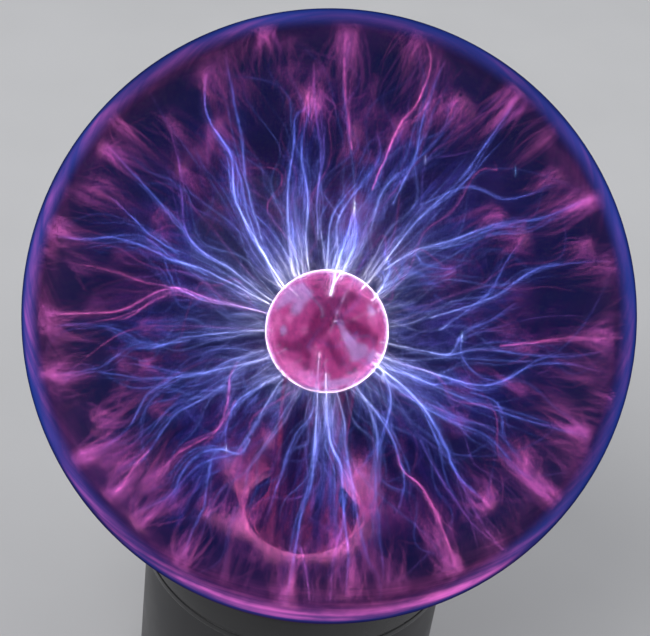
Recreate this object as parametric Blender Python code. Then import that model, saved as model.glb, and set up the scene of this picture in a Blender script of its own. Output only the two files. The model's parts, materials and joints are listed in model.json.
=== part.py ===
"""Desk plasma ball: a 200 mm glass globe with a re-entrant stem and a glass
electrode ball, standing in a black moulded base that holds the high-voltage
driver board, a three-position slide switch, a sensitivity dial, a microphone
and a low-voltage power socket.

Frame: origin on the table under the globe's axis, +Z up, the controls face -Y
and the power socket faces +Y. Dimensions below are millimetres.
"""

import math

import bmesh
import bpy
from mathutils import Matrix, Vector

MM = 0.001

# ---------------------------------------------------------------- dimensions
# glass envelope
GLOBE_R = 100.0            # outside radius of the globe
GLOBE_WALL = 2.2
GLOBE_Z = 186.0            # height of the globe's centre
NECK_R = 22.2              # outside of the short neck under the globe
NECK_BORE = 20.0
NECK_END_Z = 77.0
ELECTRODE_R = 20.5         # glass ball on top of the stem
ELECTRODE_WALL = 1.2
ELECTRODE_Z = 179.4
STEM_R = 12.5
STEM_WALL = 1.5
FLARE_R = 19.6             # mouth of the stem, fused into the neck
LEAD_R = 1.6               # silicone high-voltage lead

# base
BASE_R = 55.0
BASE_WALL = 2.5
BASE_FOOT_Z = 3.0          # underside of the base, above the table
BASE_TOP_Z = 84.0          # top of the deck
DECK_T = 3.0
DECK_HOLE = 26.5
COLLAR_R = 57.2
COLLAR_TOP_Z = 100.6

# base hardware
FOOT_R = 7.0
FOOT_AT = 43.0             # feet on this radius, at 45 degrees and so on
COVER_T = 3.0
COVER_SCREWS = [(42.8, 15.6), (-42.8, 15.6), (-42.8, -15.6), (42.8, -15.6)]
COLLAR_SCREW_R = 38.0
COLLAR_SCREW_ANGLES = (90.0, 210.0, 330.0)

# controls
CONTROL_Z = 34.0
SWITCH_TRAVEL = 3.0        # each way from the middle position
DIAL_ANGLE = -50.0         # round the base, from +X
MIC_ANGLE = -130.0
JACK_Z = 24.0

# board
BOARD_X, BOARD_Y = 35.0, 33.0
BOARD_Z = 14.0
BOARD_T = 1.6
BOARD_HOLES = [(30.0, 27.0), (-30.0, 27.0), (-30.0, -27.0), (30.0, -27.0)]
BOARD_TOP = BOARD_Z + BOARD_T

ROUND = 36                 # sides of the large turned pieces

# ------------------------------------------------------------------- helpers


def clear_scene():
    for obj in list(bpy.data.objects):
        bpy.data.objects.remove(obj, do_unlink=True)


def new_object(name, mesh, smooth=True):
    obj = bpy.data.objects.new(name, mesh)
    bpy.context.scene.collection.objects.link(obj)
    if smooth:
        mesh.shade_smooth()
        mesh.set_sharp_from_angle(angle=math.radians(32))
    return obj


def mesh_from(bm, name):
    bmesh.ops.recalc_face_normals(bm, faces=bm.faces)
    mesh = bpy.data.meshes.new(name)
    bm.to_mesh(mesh)
    bm.free()
    return mesh


def turned(name, profile, sides=24, closed=True):
    """A profile of (radius, height) points spun about Z. A closed profile
    stays clear of the axis; an open one starts and ends on it."""
    bm = bmesh.new()
    verts = [bm.verts.new((r * MM, 0.0, z * MM)) for r, z in profile]
    edges = [bm.edges.new(pair) for pair in zip(verts, verts[1:])]
    if closed:
        edges.append(bm.edges.new((verts[-1], verts[0])))
    bmesh.ops.spin(
        bm, geom=verts + edges, cent=(0, 0, 0), axis=(0, 0, 1), dvec=(0, 0, 0),
        angle=2 * math.pi, steps=sides, use_merge=True, use_duplicate=False,
    )
    bmesh.ops.remove_doubles(bm, verts=bm.verts, dist=1e-7)
    bmesh.ops.dissolve_degenerate(bm, dist=1e-8, edges=bm.edges)
    return new_object(name, mesh_from(bm, name))


def box(name, low, high, bevel=0.0):
    """A block between two corners; its edges are bevelled if asked."""
    bm = bmesh.new()
    bmesh.ops.create_cube(bm, size=1.0)
    size = Vector(high) - Vector(low)
    middle = (Vector(high) + Vector(low)) / 2
    bmesh.ops.scale(bm, vec=size * MM, verts=bm.verts)
    bmesh.ops.translate(bm, vec=middle * MM, verts=bm.verts)
    if bevel:
        bmesh.ops.bevel(bm, geom=list(bm.edges), offset=bevel * MM, segments=1,
                        profile=0.5, affect="EDGES", clamp_overlap=True)
    return new_object(name, mesh_from(bm, name))


def rod(name, radius, low, high, sides=16):
    """A plain cylinder along Z between two heights."""
    bm = bmesh.new()
    bmesh.ops.create_cone(bm, cap_ends=True, segments=sides, radius1=radius * MM,
                          radius2=radius * MM, depth=(high - low) * MM)
    bmesh.ops.translate(bm, vec=(0, 0, (high + low) / 2 * MM), verts=bm.verts)
    return new_object(name, mesh_from(bm, name))


def extruded(name, outline, low, high):
    """An outline of (x, y) points pushed up from one height to another."""
    bm = bmesh.new()
    face = bm.faces.new([bm.verts.new((x * MM, y * MM, low * MM)) for x, y in outline])
    up = bmesh.ops.extrude_face_region(bm, geom=[face])
    verts = [v for v in up["geom"] if isinstance(v, bmesh.types.BMVert)]
    bmesh.ops.translate(bm, vec=(0, 0, (high - low) * MM), verts=verts)
    return new_object(name, mesh_from(bm, name))


def place(obj, at=(0, 0, 0), towards=None, spin=0.0):
    """Sets an object down, with its own Z turned to point along towards."""
    obj.location = Vector(at) * MM
    if towards is not None:
        turn = Vector((0, 0, 1)).rotation_difference(Vector(towards))
        obj.rotation_euler = (turn.to_matrix() @ Matrix.Rotation(math.radians(spin), 3, "Z")).to_euler()
    elif spin:
        obj.rotation_euler = (0, 0, math.radians(spin))
    return obj


def helper(obj):
    obj.hide_render = True
    obj.display_type = "WIRE"
    return obj


def boolean(obj, other, operation):
    helper(other)
    modifier = obj.modifiers.new(f"{operation.lower()}_{other.name}", "BOOLEAN")
    modifier.operation = operation
    modifier.solver = "EXACT"
    modifier.object = other
    return obj


def place_all(objs, at=(0, 0, 0), towards=None, parent=None):
    """Sets a piece and the shapes that cut it down together."""
    for obj in objs:
        place(obj, at, towards)
        if parent:
            obj.parent = parent
    return objs[0]


def cut(obj, *others):
    for other in others:
        boolean(obj, other, "DIFFERENCE")
    return obj


def add(obj, *others):
    for other in others:
        boolean(obj, other, "UNION")
    return obj


def smooth_route(points, step):
    """Points on one smooth curve through the given ones, about step apart."""
    pts = [Vector(p) for p in points]
    pts = [2 * pts[0] - pts[1]] + pts + [2 * pts[-1] - pts[-2]]
    fine = []
    for a, b, c, d in zip(pts, pts[1:], pts[2:], pts[3:]):
        for k in range(40):
            t = k / 40
            fine.append(0.5 * ((2 * b) + (c - a) * t + (2 * a - 5 * b + 4 * c - d) * t * t
                               + (3 * b - a - 3 * c + d) * t ** 3))
    fine.append(pts[-2])
    length = sum((q - p).length for p, q in zip(fine, fine[1:]))
    count = max(2, round(length / step))
    route, gone, target = [fine[0]], 0.0, length / count
    for p, q in zip(fine, fine[1:]):
        seg = (q - p).length
        while gone + seg >= target * len(route) and len(route) < count:
            t = (target * len(route) - gone) / seg
            route.append(p.lerp(q, t))
        gone += seg
    route.append(fine[-1])
    return route


def wire(name, points, radius, step):
    curve = bpy.data.curves.new(name, "CURVE")
    curve.dimensions = "3D"
    curve.bevel_depth = radius * MM
    curve.bevel_resolution = 1
    curve.use_fill_caps = True
    route = smooth_route(points, step)
    spline = curve.splines.new("POLY")
    spline.points.add(len(route) - 1)
    for point, at in zip(spline.points, route):
        point.co = (*(at * MM), 1.0)
    obj = bpy.data.objects.new(name, curve)
    bpy.context.scene.collection.objects.link(obj)
    return obj


def finish(obj, colour, roughness=0.5, metallic=0.0, transmission=0.0, alpha=1.0,
           glow=None):
    material = bpy.data.materials.new(obj.name)
    material.use_nodes = True
    shader = material.node_tree.nodes["Principled BSDF"]
    shader.inputs["Base Color"].default_value = (*colour, 1.0)
    shader.inputs["Roughness"].default_value = roughness
    shader.inputs["Metallic"].default_value = metallic
    shader.inputs["Transmission Weight"].default_value = transmission
    shader.inputs["Alpha"].default_value = alpha
    if glow:
        shader.inputs["Emission Color"].default_value = (*glow[:3], 1.0)
        shader.inputs["Emission Strength"].default_value = glow[3]
    material.diffuse_color = (*colour, alpha)
    obj.data.materials.clear()
    obj.data.materials.append(material)
    return obj


GLASS = dict(colour=(0.05, 0.06, 0.20), roughness=0.02, transmission=1.0)
BLACK_ABS = dict(colour=(0.012, 0.012, 0.014), roughness=0.42)
BLACK_RUBBER = dict(colour=(0.02, 0.02, 0.02), roughness=0.85)
SILICONE = dict(colour=(0.55, 0.56, 0.58), roughness=0.55)
STEEL = dict(colour=(0.55, 0.55, 0.56), roughness=0.35, metallic=1.0)
FERRITE = dict(colour=(0.05, 0.05, 0.055), roughness=0.6)
COPPER = dict(colour=(0.62, 0.24, 0.09), roughness=0.35, metallic=1.0)


def polar(radius, degrees, z=0.0):
    a = math.radians(degrees)
    return (radius * math.cos(a), radius * math.sin(a), z)


def frame_empty(name, at=(0, 0, 0), parent=None):
    empty = bpy.data.objects.new(name, None)
    bpy.context.scene.collection.objects.link(empty)
    empty.location = Vector(at) * MM
    if parent:
        empty.parent = parent
    return empty


# --------------------------------------------------------------- the envelope


def sphere_points(radius, centre_z, first, last, count):
    """Points on a meridian, angles from the top in degrees."""
    found = []
    for k in range(count + 1):
        a = math.radians(first + (last - first) * k / count)
        r = radius * math.sin(a)
        found.append((0.0 if abs(r) < 1e-6 else r, centre_z + radius * math.cos(a)))
    return found


def make_globe():
    outer_end = 180 - math.degrees(math.asin(NECK_R / GLOBE_R))
    inner_r = GLOBE_R - GLOBE_WALL
    inner_end = 180 - math.degrees(math.asin(NECK_BORE / inner_r))
    profile = sphere_points(GLOBE_R, GLOBE_Z, 0, 90, 8)
    profile += sphere_points(GLOBE_R, GLOBE_Z, 90, outer_end, 7)[1:]
    profile += [(NECK_R, NECK_END_Z + 0.5), (NECK_R - 0.6, NECK_END_Z),
                (NECK_BORE, NECK_END_Z)]
    profile += sphere_points(inner_r, GLOBE_Z, inner_end, 0, 12)
    return finish(turned("glass_globe", profile, ROUND, closed=False), **GLASS)


def make_stem():
    top = ELECTRODE_Z - math.sqrt(ELECTRODE_R ** 2 - STEM_R ** 2) - 0.45
    outer = [(STEM_R, top), (STEM_R, 102.0), (13.8, 93.0), (16.6, 86.0),
             (FLARE_R, 80.5), (FLARE_R, 78.0)]
    inner = [(18.1, 78.0), (17.9, 80.8), (15.0, 86.0), (12.3, 93.5),
             (STEM_R - STEM_WALL, 102.0), (STEM_R - STEM_WALL, top)]
    return finish(turned("glass_stem", outer + inner, 20), **GLASS)


def make_electrode():
    inner_r = ELECTRODE_R - ELECTRODE_WALL
    outer_end = 180 - math.degrees(math.asin((STEM_R - 0.1) / ELECTRODE_R))
    inner_end = 180 - math.degrees(math.asin((STEM_R - STEM_WALL) / inner_r))
    profile = sphere_points(ELECTRODE_R, ELECTRODE_Z, 0, 90, 5)
    profile += sphere_points(ELECTRODE_R, ELECTRODE_Z, 90, outer_end, 3)[1:]
    profile += sphere_points(inner_r, ELECTRODE_Z, inner_end, 0, 7)
    bulb = turned("electrode_bulb", profile, 20, closed=False)
    finish(bulb, (0.85, 0.25, 0.5), roughness=0.05, transmission=0.8)

    core_r = inner_r - 0.9
    core = turned("electrode_core",
                  sphere_points(core_r, ELECTRODE_Z, 0, 180, 8), 16, closed=False)
    cut(core, rod("lead_socket", LEAD_R + 0.5, ELECTRODE_Z - 24, ELECTRODE_Z - 3.0, 10))
    finish(core, (0.45, 0.08, 0.2), roughness=0.6, metallic=0.6, glow=(0.9, 0.15, 0.4, 1.0))
    return bulb, core


def make_lead_and_seals():
    lead = wire("hv_lead", [
        (0, 0, ELECTRODE_Z - 3.5), (0, 0, 150), (0, 0, 120), (0, 0, 96), (0, 0, 84),
        (0, 0, 76), (-1.6, -0.7, 70), (-6.2, -2.7, 64.5), (-11.5, -4.9, 60.5),
        (-13.8, -6.0, 56), (-14, -6, 50.1)], LEAD_R, 5.5)
    finish(lead, (0.7, 0.12, 0.08), roughness=0.5)
    plug = turned("stem_plug", [(2.0, 75.6), (18.6, 75.6), (18.6, 77.6), (16.9, 77.6),
                                (15.0, 83.2), (2.0, 83.2)], 16)
    finish(plug, **SILICONE)
    sealant = turned("neck_sealant", [
        (22.6, 79.6), (26.1, 80.4), (26.1, 84.4), (29.2, 84.4), (28.4, 86.0),
        (22.6, 87.9)], 32)
    finish(sealant, **SILICONE)
    gasket = turned("globe_gasket", [(45.0, 93.3), (51.8, 93.3), (51.8, 100.0),
                                     (48.4, 98.0), (45.0, 96.2)], ROUND)
    finish(gasket, **BLACK_RUBBER)


# ------------------------------------------------------------------- the base


def make_housing():
    r, wall = BASE_R, BASE_WALL
    inner = r - wall
    under = BASE_TOP_Z - DECK_T
    profile = [
        (r - 0.7, BASE_FOOT_Z), (r, BASE_FOOT_Z + 0.7), (r, 14.0), (r - 0.8, 14.5),
        (r - 0.8, 15.7), (r, 16.2), (r, 80.0), (r - 1.8, 80.0), (r - 1.8, BASE_TOP_Z),
        (DECK_HOLE, BASE_TOP_Z), (DECK_HOLE, under), (inner, under), (inner, BASE_FOOT_Z),
    ]
    housing = turned("base_housing", profile, ROUND)

    # screw bosses, each tied to the wall by a rib
    for k, (x, y) in enumerate(COVER_SCREWS):
        angle = math.degrees(math.atan2(y, x))
        boss = place(rod(f"boss_{k}", 4.2, 6.4, 26.0, 12), (x, y, 0))
        rib = place(box(f"boss_rib_{k}", (44.0, -1.5, 6.4), (r - 1.2, 1.5, 25.0)), spin=angle)
        hole = place(rod(f"boss_hole_{k}", 1.7, 5.0, 21.0, 8), (x, y, 0))
        add(housing, rib, boss)
        cut(housing, hole)

    # flat pads inside the wall behind the switch, the dial and the socket
    switch_pad = box("switch_pad", (-14.0, -53.4, CONTROL_Z - 9), (14.0, -50.5, CONTROL_Z + 9))
    dial_pad = place(box("dial_pad", (50.0, -11.0, CONTROL_Z - 11), (53.6, 11.0, CONTROL_Z + 11)),
                     spin=DIAL_ANGLE)
    jack_pad = box("jack_pad", (-10.5, 49.5, JACK_Z - 9.5), (10.5, 53.6, JACK_Z + 9.5))
    add(housing, switch_pad, dial_pad, jack_pad)

    # flat pocket and slot for the switch
    cut(housing,
        box("switch_pocket", (-12.5, -60.0, CONTROL_Z - 5.5), (12.5, -53.8, CONTROL_Z + 5.5)),
        box("switch_slot", (-6.3, -60.0, CONTROL_Z - 2.4), (6.3, -45.0, CONTROL_Z + 2.4)))
    # spot face and hole for the dial
    out = polar(1.0, DIAL_ANGLE)
    cut(housing,
        place(rod("dial_face", 10.6, 54.2, 62.0, 24), (0, 0, CONTROL_Z), out),
        place(rod("dial_hole", 4.0, 45.0, 60.0, 12), (0, 0, CONTROL_Z), out))
    # spot face and hole for the power socket
    cut(housing,
        place(rod("jack_face", 8.2, 54.3, 62.0, 20), (0, 0, JACK_Z), (0, 1, 0)),
        place(rod("jack_hole", 5.8, 45.0, 60.0, 16), (0, 0, JACK_Z), (0, 1, 0)))
    # five small sound holes in front of the microphone
    mic = polar(1.0, MIC_ANGLE)
    side = Vector((-mic[1], mic[0], 0))
    for k in range(5):
        a = math.radians(90 * k + 45)
        off = Vector((0, 0, 0)) if k == 4 else 2.4 * (math.cos(a) * side + Vector((0, 0, math.sin(a))))
        cut(housing, place(rod(f"sound_hole_{k}", 0.8, 48.0, 60.0, 6),
                           Vector((0, 0, CONTROL_Z)) + off, mic))
    # upright cooling slots, three each side of the socket
    for k, angle in enumerate((56, 63, 70, 110, 117, 124)):
        cut(housing, place(box(f"vent_{k}", (48.0, -1.0, 50.0), (60.0, 1.0, 70.0)), spin=angle))
    # holes for the collar's screws
    for k, angle in enumerate(COLLAR_SCREW_ANGLES):
        cut(housing, place(rod(f"deck_hole_{k}", 1.9, 78.0, 88.0, 8), polar(COLLAR_SCREW_R, angle)))
    return finish(housing, **BLACK_ABS)


def make_collar():
    profile = [
        (55.8, 80.4), (COLLAR_R, 82.0), (COLLAR_R, 97.5), (COLLAR_R - 1.2, 99.9),
        (COLLAR_R - 2.8, COLLAR_TOP_Z), (53.0, 100.3), (52.3, 98.0), (52.3, 92.9),
        (44.2, 92.9), (44.2, 87.4), (30.0, 87.4), (30.0, 84.4), (53.6, 84.4), (53.6, 80.4),
    ]
    collar = turned("retaining_collar", profile, ROUND)
    for k, angle in enumerate(COLLAR_SCREW_ANGLES):
        at = polar(COLLAR_SCREW_R, angle)
        add(collar, place(rod(f"collar_boss_{k}", 3.6, 85.5, 90.6, 10), at))
        cut(collar, place(rod(f"collar_hole_{k}", 1.8, 80.0, 89.3, 8), at))
        screw = turned(f"collar_screw_{k + 1}",
                       [(0, 78.4), (2.4, 78.4), (3.0, 79.2), (3.0, 80.6), (1.35, 80.6),
                        (1.35, 88.6), (0, 88.6)], 10, closed=False)
        slots = cross_slots(f"collar_slot_{k}", 77.0, 79.3)
        place_all((cut(screw, *slots), *slots), at)
        finish(screw, **STEEL)
    return finish(collar, **BLACK_ABS)


def cross_slots(name, low, high):
    """Two blades of a cross recess, to be cut into a screw's head."""
    return (box(f"{name}_a", (-1.6, -0.35, low), (1.6, 0.35, high)),
            box(f"{name}_b", (-0.35, -1.6, low), (0.35, 1.6, high)))


def make_cover():
    z0, z1 = BASE_FOOT_Z, BASE_FOOT_Z + COVER_T
    cover = turned("bottom_cover", [(0, z0), (51.6, z0), (52.1, z0 + 0.5), (52.1, z1), (0, z1)],
                   ROUND, closed=False)
    for k, (x, y) in enumerate(BOARD_HOLES):
        add(cover, place(rod(f"standoff_{k}", 3.2, z1 - 1.0, 13.6, 10), (x, y, 0)))
        cut(cover, place(rod(f"standoff_hole_{k}", 1.65, 7.4, 16.0, 8), (x, y, 0)))
    for k in range(4):
        at = polar(FOOT_AT, 45 + 90 * k)
        cut(cover, place(rod(f"foot_recess_{k}", FOOT_R + 0.4, 0.0, z0 + 2.0, 20), at))
        foot = turned(f"rubber_foot_{k + 1}",
                      [(0, 0), (FOOT_R - 0.9, 0), (FOOT_R, 1.2), (FOOT_R, z0 + 1.6),
                       (0, z0 + 1.6)], 20, closed=False)
        finish(place(foot, at), **BLACK_RUBBER)
    for k, (x, y) in enumerate(COVER_SCREWS):
        cut(cover,
            place(rod(f"screw_sink_{k}", 3.6, 0.0, z0 + 1.7, 12), (x, y, 0)),
            place(rod(f"screw_hole_{k}", 1.9, 0.0, 8.0, 8), (x, y, 0)))
        screw = turned(f"cover_screw_{k + 1}",
                       [(0, 3.2), (2.5, 3.2), (3.1, 3.7), (3.1, 4.4), (1.3, 4.4),
                        (1.3, 18.0), (0, 18.0)], 10, closed=False)
        slots = cross_slots(f"cover_slot_{k}", 2.0, 4.0)
        place_all((cut(screw, *slots), *slots), (x, y, 0))
        finish(screw, **STEEL)
    for k in range(5):
        y = -14 + 7 * k
        half = 17.0 if k in (0, 4) else 21.0
        cut(cover, box(f"floor_vent_{k}", (-half, y - 1.1, 0.0), (half, y + 1.1, 8.0)))
    return finish(cover, **BLACK_ABS)


# --------------------------------------------------------------- the controls


def make_switch(parent):
    z = CONTROL_Z
    body = box("mode_switch_body", (-11.5, -50.1, z - 4.6), (11.5, -43.0, z + 4.6), 0.4)
    cut(body, box("switch_channel", (-8.8, -52.0, z - 2.9), (8.8, -46.6, z + 2.9)))
    for k, x in enumerate((-5.0, 0.0, 5.0)):
        add(body, box(f"switch_lug_{k}", (x - 0.8, -43.6, z - 1.4), (x + 0.8, -40.6, z + 1.4)))
    finish(body, **STEEL)

    carrier = frame_empty("mode_switch_axis", (0, -48.4, z), parent)
    knob = box("mode_switch_slider", (-2.6, -8.8, -1.9), (2.6, 0.6, 1.9), 0.35)
    foot = box("slider_base", (-4.6, -1.2, -2.5), (4.6, 1.3, 2.5))
    # three finger grooves across the tip
    grooves = [box(f"slider_groove_{k}", (x - 0.3, -10.0, -3.0), (x + 0.3, -8.2, 3.0))
               for k, x in enumerate((-1.5, 0.0, 1.5))]
    place_all((cut(add(knob, foot), *grooves), foot, *grooves), parent=carrier)
    finish(knob, (0.75, 0.75, 0.76), roughness=0.4)


def make_dial(parent):
    """The potentiometer, its nut, the turning shaft and the knob. Heights here
    are distances out from the base's axis along the dial's own axis."""
    out = polar(1.0, DIAL_ANGLE)
    at = (0, 0, CONTROL_Z)
    pot = turned("potentiometer_body",
                 [(0, 40.5), (8.0, 40.5), (8.5, 41.0), (8.5, 49.0), (8.0, 49.6), (3.5, 49.6),
                  (3.5, 56.3), (2.5, 56.3), (2.5, 45.0), (0, 45.0)], 14, closed=False)
    finish(place(pot, at, out), (0.35, 0.35, 0.36), roughness=0.4, metallic=1.0)
    nut = cut(place(rod("potentiometer_nut", 5.7, 54.6, 56.1, 6), at, out),
              place(rod("nut_bore", 3.9, 50.0, 60.0, 12), at, out))
    finish(nut, **STEEL)

    axis = frame_empty("dial_axis", Vector(out) * 55.0 + Vector((0, 0, CONTROL_Z)), parent)
    shaft = turned("dial_shaft", [(0, -8.6), (2.05, -8.6), (2.05, 8.8), (0, 8.8)], 12, closed=False)
    knob = turned("sensitivity_dial",
                  [(0, 12.4), (7.4, 12.4), (8.4, 11.2), (8.7, 0.6), (6.5, 0.6), (6.5, 2.0),
                   (2.5, 2.0), (2.5, 9.5), (0, 9.5)], 20, closed=False)
    mark = box("dial_mark", (-0.5, 3.2, 11.4), (0.5, 9.5, 14.0))
    place_all((cut(knob, mark), mark, shaft), towards=out, parent=axis)
    finish(shaft, **STEEL)
    finish(knob, **BLACK_ABS)


def make_microphone():
    mic = turned("microphone_capsule", [(0, 44.6), (4.7, 44.6), (4.7, 51.3), (4.3, 51.7),
                                        (0, 51.7)], 14, closed=False)
    place(mic, (0, 0, CONTROL_Z), polar(1.0, MIC_ANGLE))
    finish(mic, (0.6, 0.6, 0.6), roughness=0.35, metallic=1.0)


def make_jack():
    at, back = (0, 0, JACK_Z), (0, 1, 0)
    jack = turned("dc_jack_body", [(0, 38.0), (5.3, 38.0), (5.3, 54.7), (7.2, 54.7), (7.0, 55.9),
                                   (3.1, 55.9), (3.1, 46.0), (0, 46.0)], 16, closed=False)
    place(jack, at, back)
    tail = box("jack_tail", (-5.6, 36.4, JACK_Z - 5.6), (5.6, 44.4, JACK_Z + 5.6))
    add(jack, tail)
    finish(jack, **BLACK_ABS)
    pin = turned("dc_jack_pin", [(0, 46.4), (1.0, 46.4), (1.0, 54.0), (0.5, 54.9), (0, 54.9)], 8,
                 closed=False)
    finish(place(pin, at, back), **STEEL)
    nut = cut(place(rod("dc_jack_nut", 8.6, 46.6, 49.1, 6), at, back),
              place(rod("jack_nut_bore", 5.75, 40.0, 55.0, 16), at, back))
    finish(nut, **STEEL)


# ------------------------------------------------------------------ the board


def make_board():
    z = BOARD_Z
    x, y, c = BOARD_X, BOARD_Y, 3.0
    board = extruded("circuit_board",
                     [(-x + c, -y), (x - c, -y), (x, -y + c), (x, y - c), (x - c, y),
                      (-x + c, y), (-x, y - c), (-x, -y + c)], z, BOARD_TOP)
    for k, (hx, hy) in enumerate(BOARD_HOLES):
        cut(board, place(rod(f"board_hole_{k}", 1.7, z - 1, z + 4, 8), (hx, hy, 0)))
        screw = turned(f"board_screw_{k + 1}",
                       [(0, 8.2), (1.2, 8.2), (1.2, 15.9), (2.8, 15.9), (2.8, 17.0),
                        (2.2, 17.7), (0, 17.7)], 8, closed=False)
        slots = cross_slots(f"board_slot_{k}", 17.0, 19.0)
        place_all((cut(screw, *slots), *slots), (hx, hy, 0))
        finish(screw, **STEEL)
    finish(board, (0.03, 0.16, 0.06), roughness=0.45)


def make_transformer():
    """Two U-shaped ferrite halves, with both windings on the left leg."""
    leg, half, deep, y0 = 14.0, 4.5, 4.5, 6.0
    low_z, split, top_z, bar = 16.0, 37.5, 59.0, 9.0

    def u_core(name, flat, tip, bar_end):
        outline = [(-leg - half, flat), (leg + half, flat), (leg + half, tip), (leg - half, tip),
                   (leg - half, bar_end), (-leg + half, bar_end), (-leg + half, tip), (-leg - half, tip)]
        bm = bmesh.new()
        face = bm.faces.new([bm.verts.new((px * MM, (y0 - deep) * MM, pz * MM)) for px, pz in outline])
        up = bmesh.ops.extrude_face_region(bm, geom=[face])
        verts = [v for v in up["geom"] if isinstance(v, bmesh.types.BMVert)]
        bmesh.ops.translate(bm, vec=(0, 2 * deep * MM, 0), verts=verts)
        return finish(new_object(name, mesh_from(bm, name)), **FERRITE)

    u_core("ferrite_core_lower", low_z, split - 0.15, low_z + bar)
    u_core("ferrite_core_upper", top_z, split + 0.15, top_z - bar)

    clip_out, clip_in = leg + half + 1.2, leg + half + 0.5
    outline = [(-clip_out, 16.0), (-clip_out, 60.2), (clip_out, 60.2), (clip_out, 16.0),
               (clip_in, 16.0), (clip_in, 59.5), (-clip_in, 59.5), (-clip_in, 16.0)]
    bm = bmesh.new()
    face = bm.faces.new([bm.verts.new((px * MM, (y0 - 2.5) * MM, pz * MM)) for px, pz in outline])
    up = bmesh.ops.extrude_face_region(bm, geom=[face])
    verts = [v for v in up["geom"] if isinstance(v, bmesh.types.BMVert)]
    bmesh.ops.translate(bm, vec=(0, 5.0 * MM, 0), verts=verts)
    finish(new_object("core_clip", mesh_from(bm, "core_clip")), **STEEL)

    at = (-leg, y0, 0)
    bobbin = turned("transformer_bobbin", [
        (6.9, 25.5), (15.4, 25.5), (15.4, 26.5), (8.0, 26.5), (8.0, 33.4), (15.4, 33.4),
        (15.4, 34.4), (8.0, 34.4), (8.0, 48.4), (15.4, 48.4), (15.4, 49.4), (6.9, 49.4)], 16)
    finish(place(bobbin, at), (0.75, 0.72, 0.62), roughness=0.5)
    primary = turned("primary_winding", [(8.4, 26.9), (12.6, 26.9), (12.6, 33.0), (8.4, 33.0)], 16)
    finish(place(primary, at), **COPPER)
    secondary = turned("secondary_winding", [(8.4, 34.8), (15.0, 34.8), (15.0, 47.0),
                                             (14.2, 48.0), (8.4, 48.0)], 16)
    finish(place(secondary, at), (0.5, 0.12, 0.06), roughness=0.4)


def make_power_stage():
    fins = [(27.2, -20.0), (34.2, -20.0), (34.2, -18.6), (29.2, -18.6)]
    y = -18.6
    while y < 14.0:
        fins += [(29.2, y + 4.4), (34.2, y + 4.4), (34.2, y + 5.8), (29.2, y + 5.8)]
        y += 5.8
    last = fins[-2][1]
    fins = fins[:-1] + [(27.2, last)]
    sink = extruded("heatsink", fins, 16.0, 44.0)
    cut(sink, place(rod("sink_hole", 1.9, 20.0, 32.0, 8), (0, -1, 38.0), (1, 0, 0)))
    finish(sink, (0.6, 0.6, 0.62), roughness=0.4, metallic=1.0)

    part = box("power_transistor", (22.4, -6.0, 19.0), (26.8, 4.0, 34.0), 0.4)
    add(part, box("transistor_tab", (25.6, -6.0, 33.0), (26.8, 4.0, 42.0)))
    for k, y in enumerate((-3.54, -1.0, 1.54)):
        add(part, box(f"transistor_leg_{k}", (24.2, y - 0.4, 16.0), (24.8, y + 0.4, 20.0)))
    cut(part, place(rod("tab_hole", 1.9, 20.0, 30.0, 8), (0, -1, 38.0), (1, 0, 0)))
    finish(part, (0.03, 0.03, 0.03), roughness=0.5)
    screw = turned("transistor_screw", [(0, 23.2), (2.5, 23.2), (3.0, 23.6), (3.0, 25.3), (1.4, 25.3),
                                        (1.4, 29.0), (0, 29.0)], 10, closed=False)
    finish(place(screw, (0, -1, 38.0), (1, 0, 0)), **STEEL)


def make_small_parts():
    for k, (x, tall, r) in enumerate(((-13.0, 22.0, 6.2), (4.0, 17.0, 5.0))):
        can = turned(f"filter_capacitor_{k + 1}",
                     [(0, 16.0), (r, 16.0), (r, 18.0), (r - 0.6, 18.7), (r, 19.4),
                      (r, 16 + tall - 0.6), (r - 0.6, 16 + tall), (0, 16 + tall)], 12, closed=False)
        finish(place(can, (x, -23.0, 0)), (0.03, 0.05, 0.12), roughness=0.35)
    film = box("film_capacitor", (8.0, 19.5, 16.0), (24.0, 26.5, 28.0), 0.8)
    finish(film, (0.55, 0.35, 0.06), roughness=0.35)

    chip = box("control_chip", (-12.0, -10.5, 16.9), (-2.0, -4.5, 20.2), 0.3)
    for k in range(4):
        x = -10.8 + 2.54 * k
        for s, (low, high) in enumerate(((-12.0, -10.2), (-4.8, -3.0))):
            add(chip, box(f"chip_leg_{k}{s}", (x - 0.35, low, 17.6), (x + 0.35, high, 18.2)))
    finish(chip, (0.02, 0.02, 0.02), roughness=0.55)

    for k, x in enumerate((11.0, 16.5)):
        res = turned(f"resistor_{k + 1}", [(0, -6.5), (0.4, -6.5), (0.4, -3.4), (1.5, -3.0), (1.2, -1.8),
                                           (1.2, 1.8), (1.5, 3.0), (0.4, 3.4), (0.4, 6.5), (0, 6.5)],
                     8, closed=False)
        finish(place(res, (x, -16.0, 18.0), (0, 1, 0)), (0.62, 0.45, 0.25), roughness=0.5)


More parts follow.
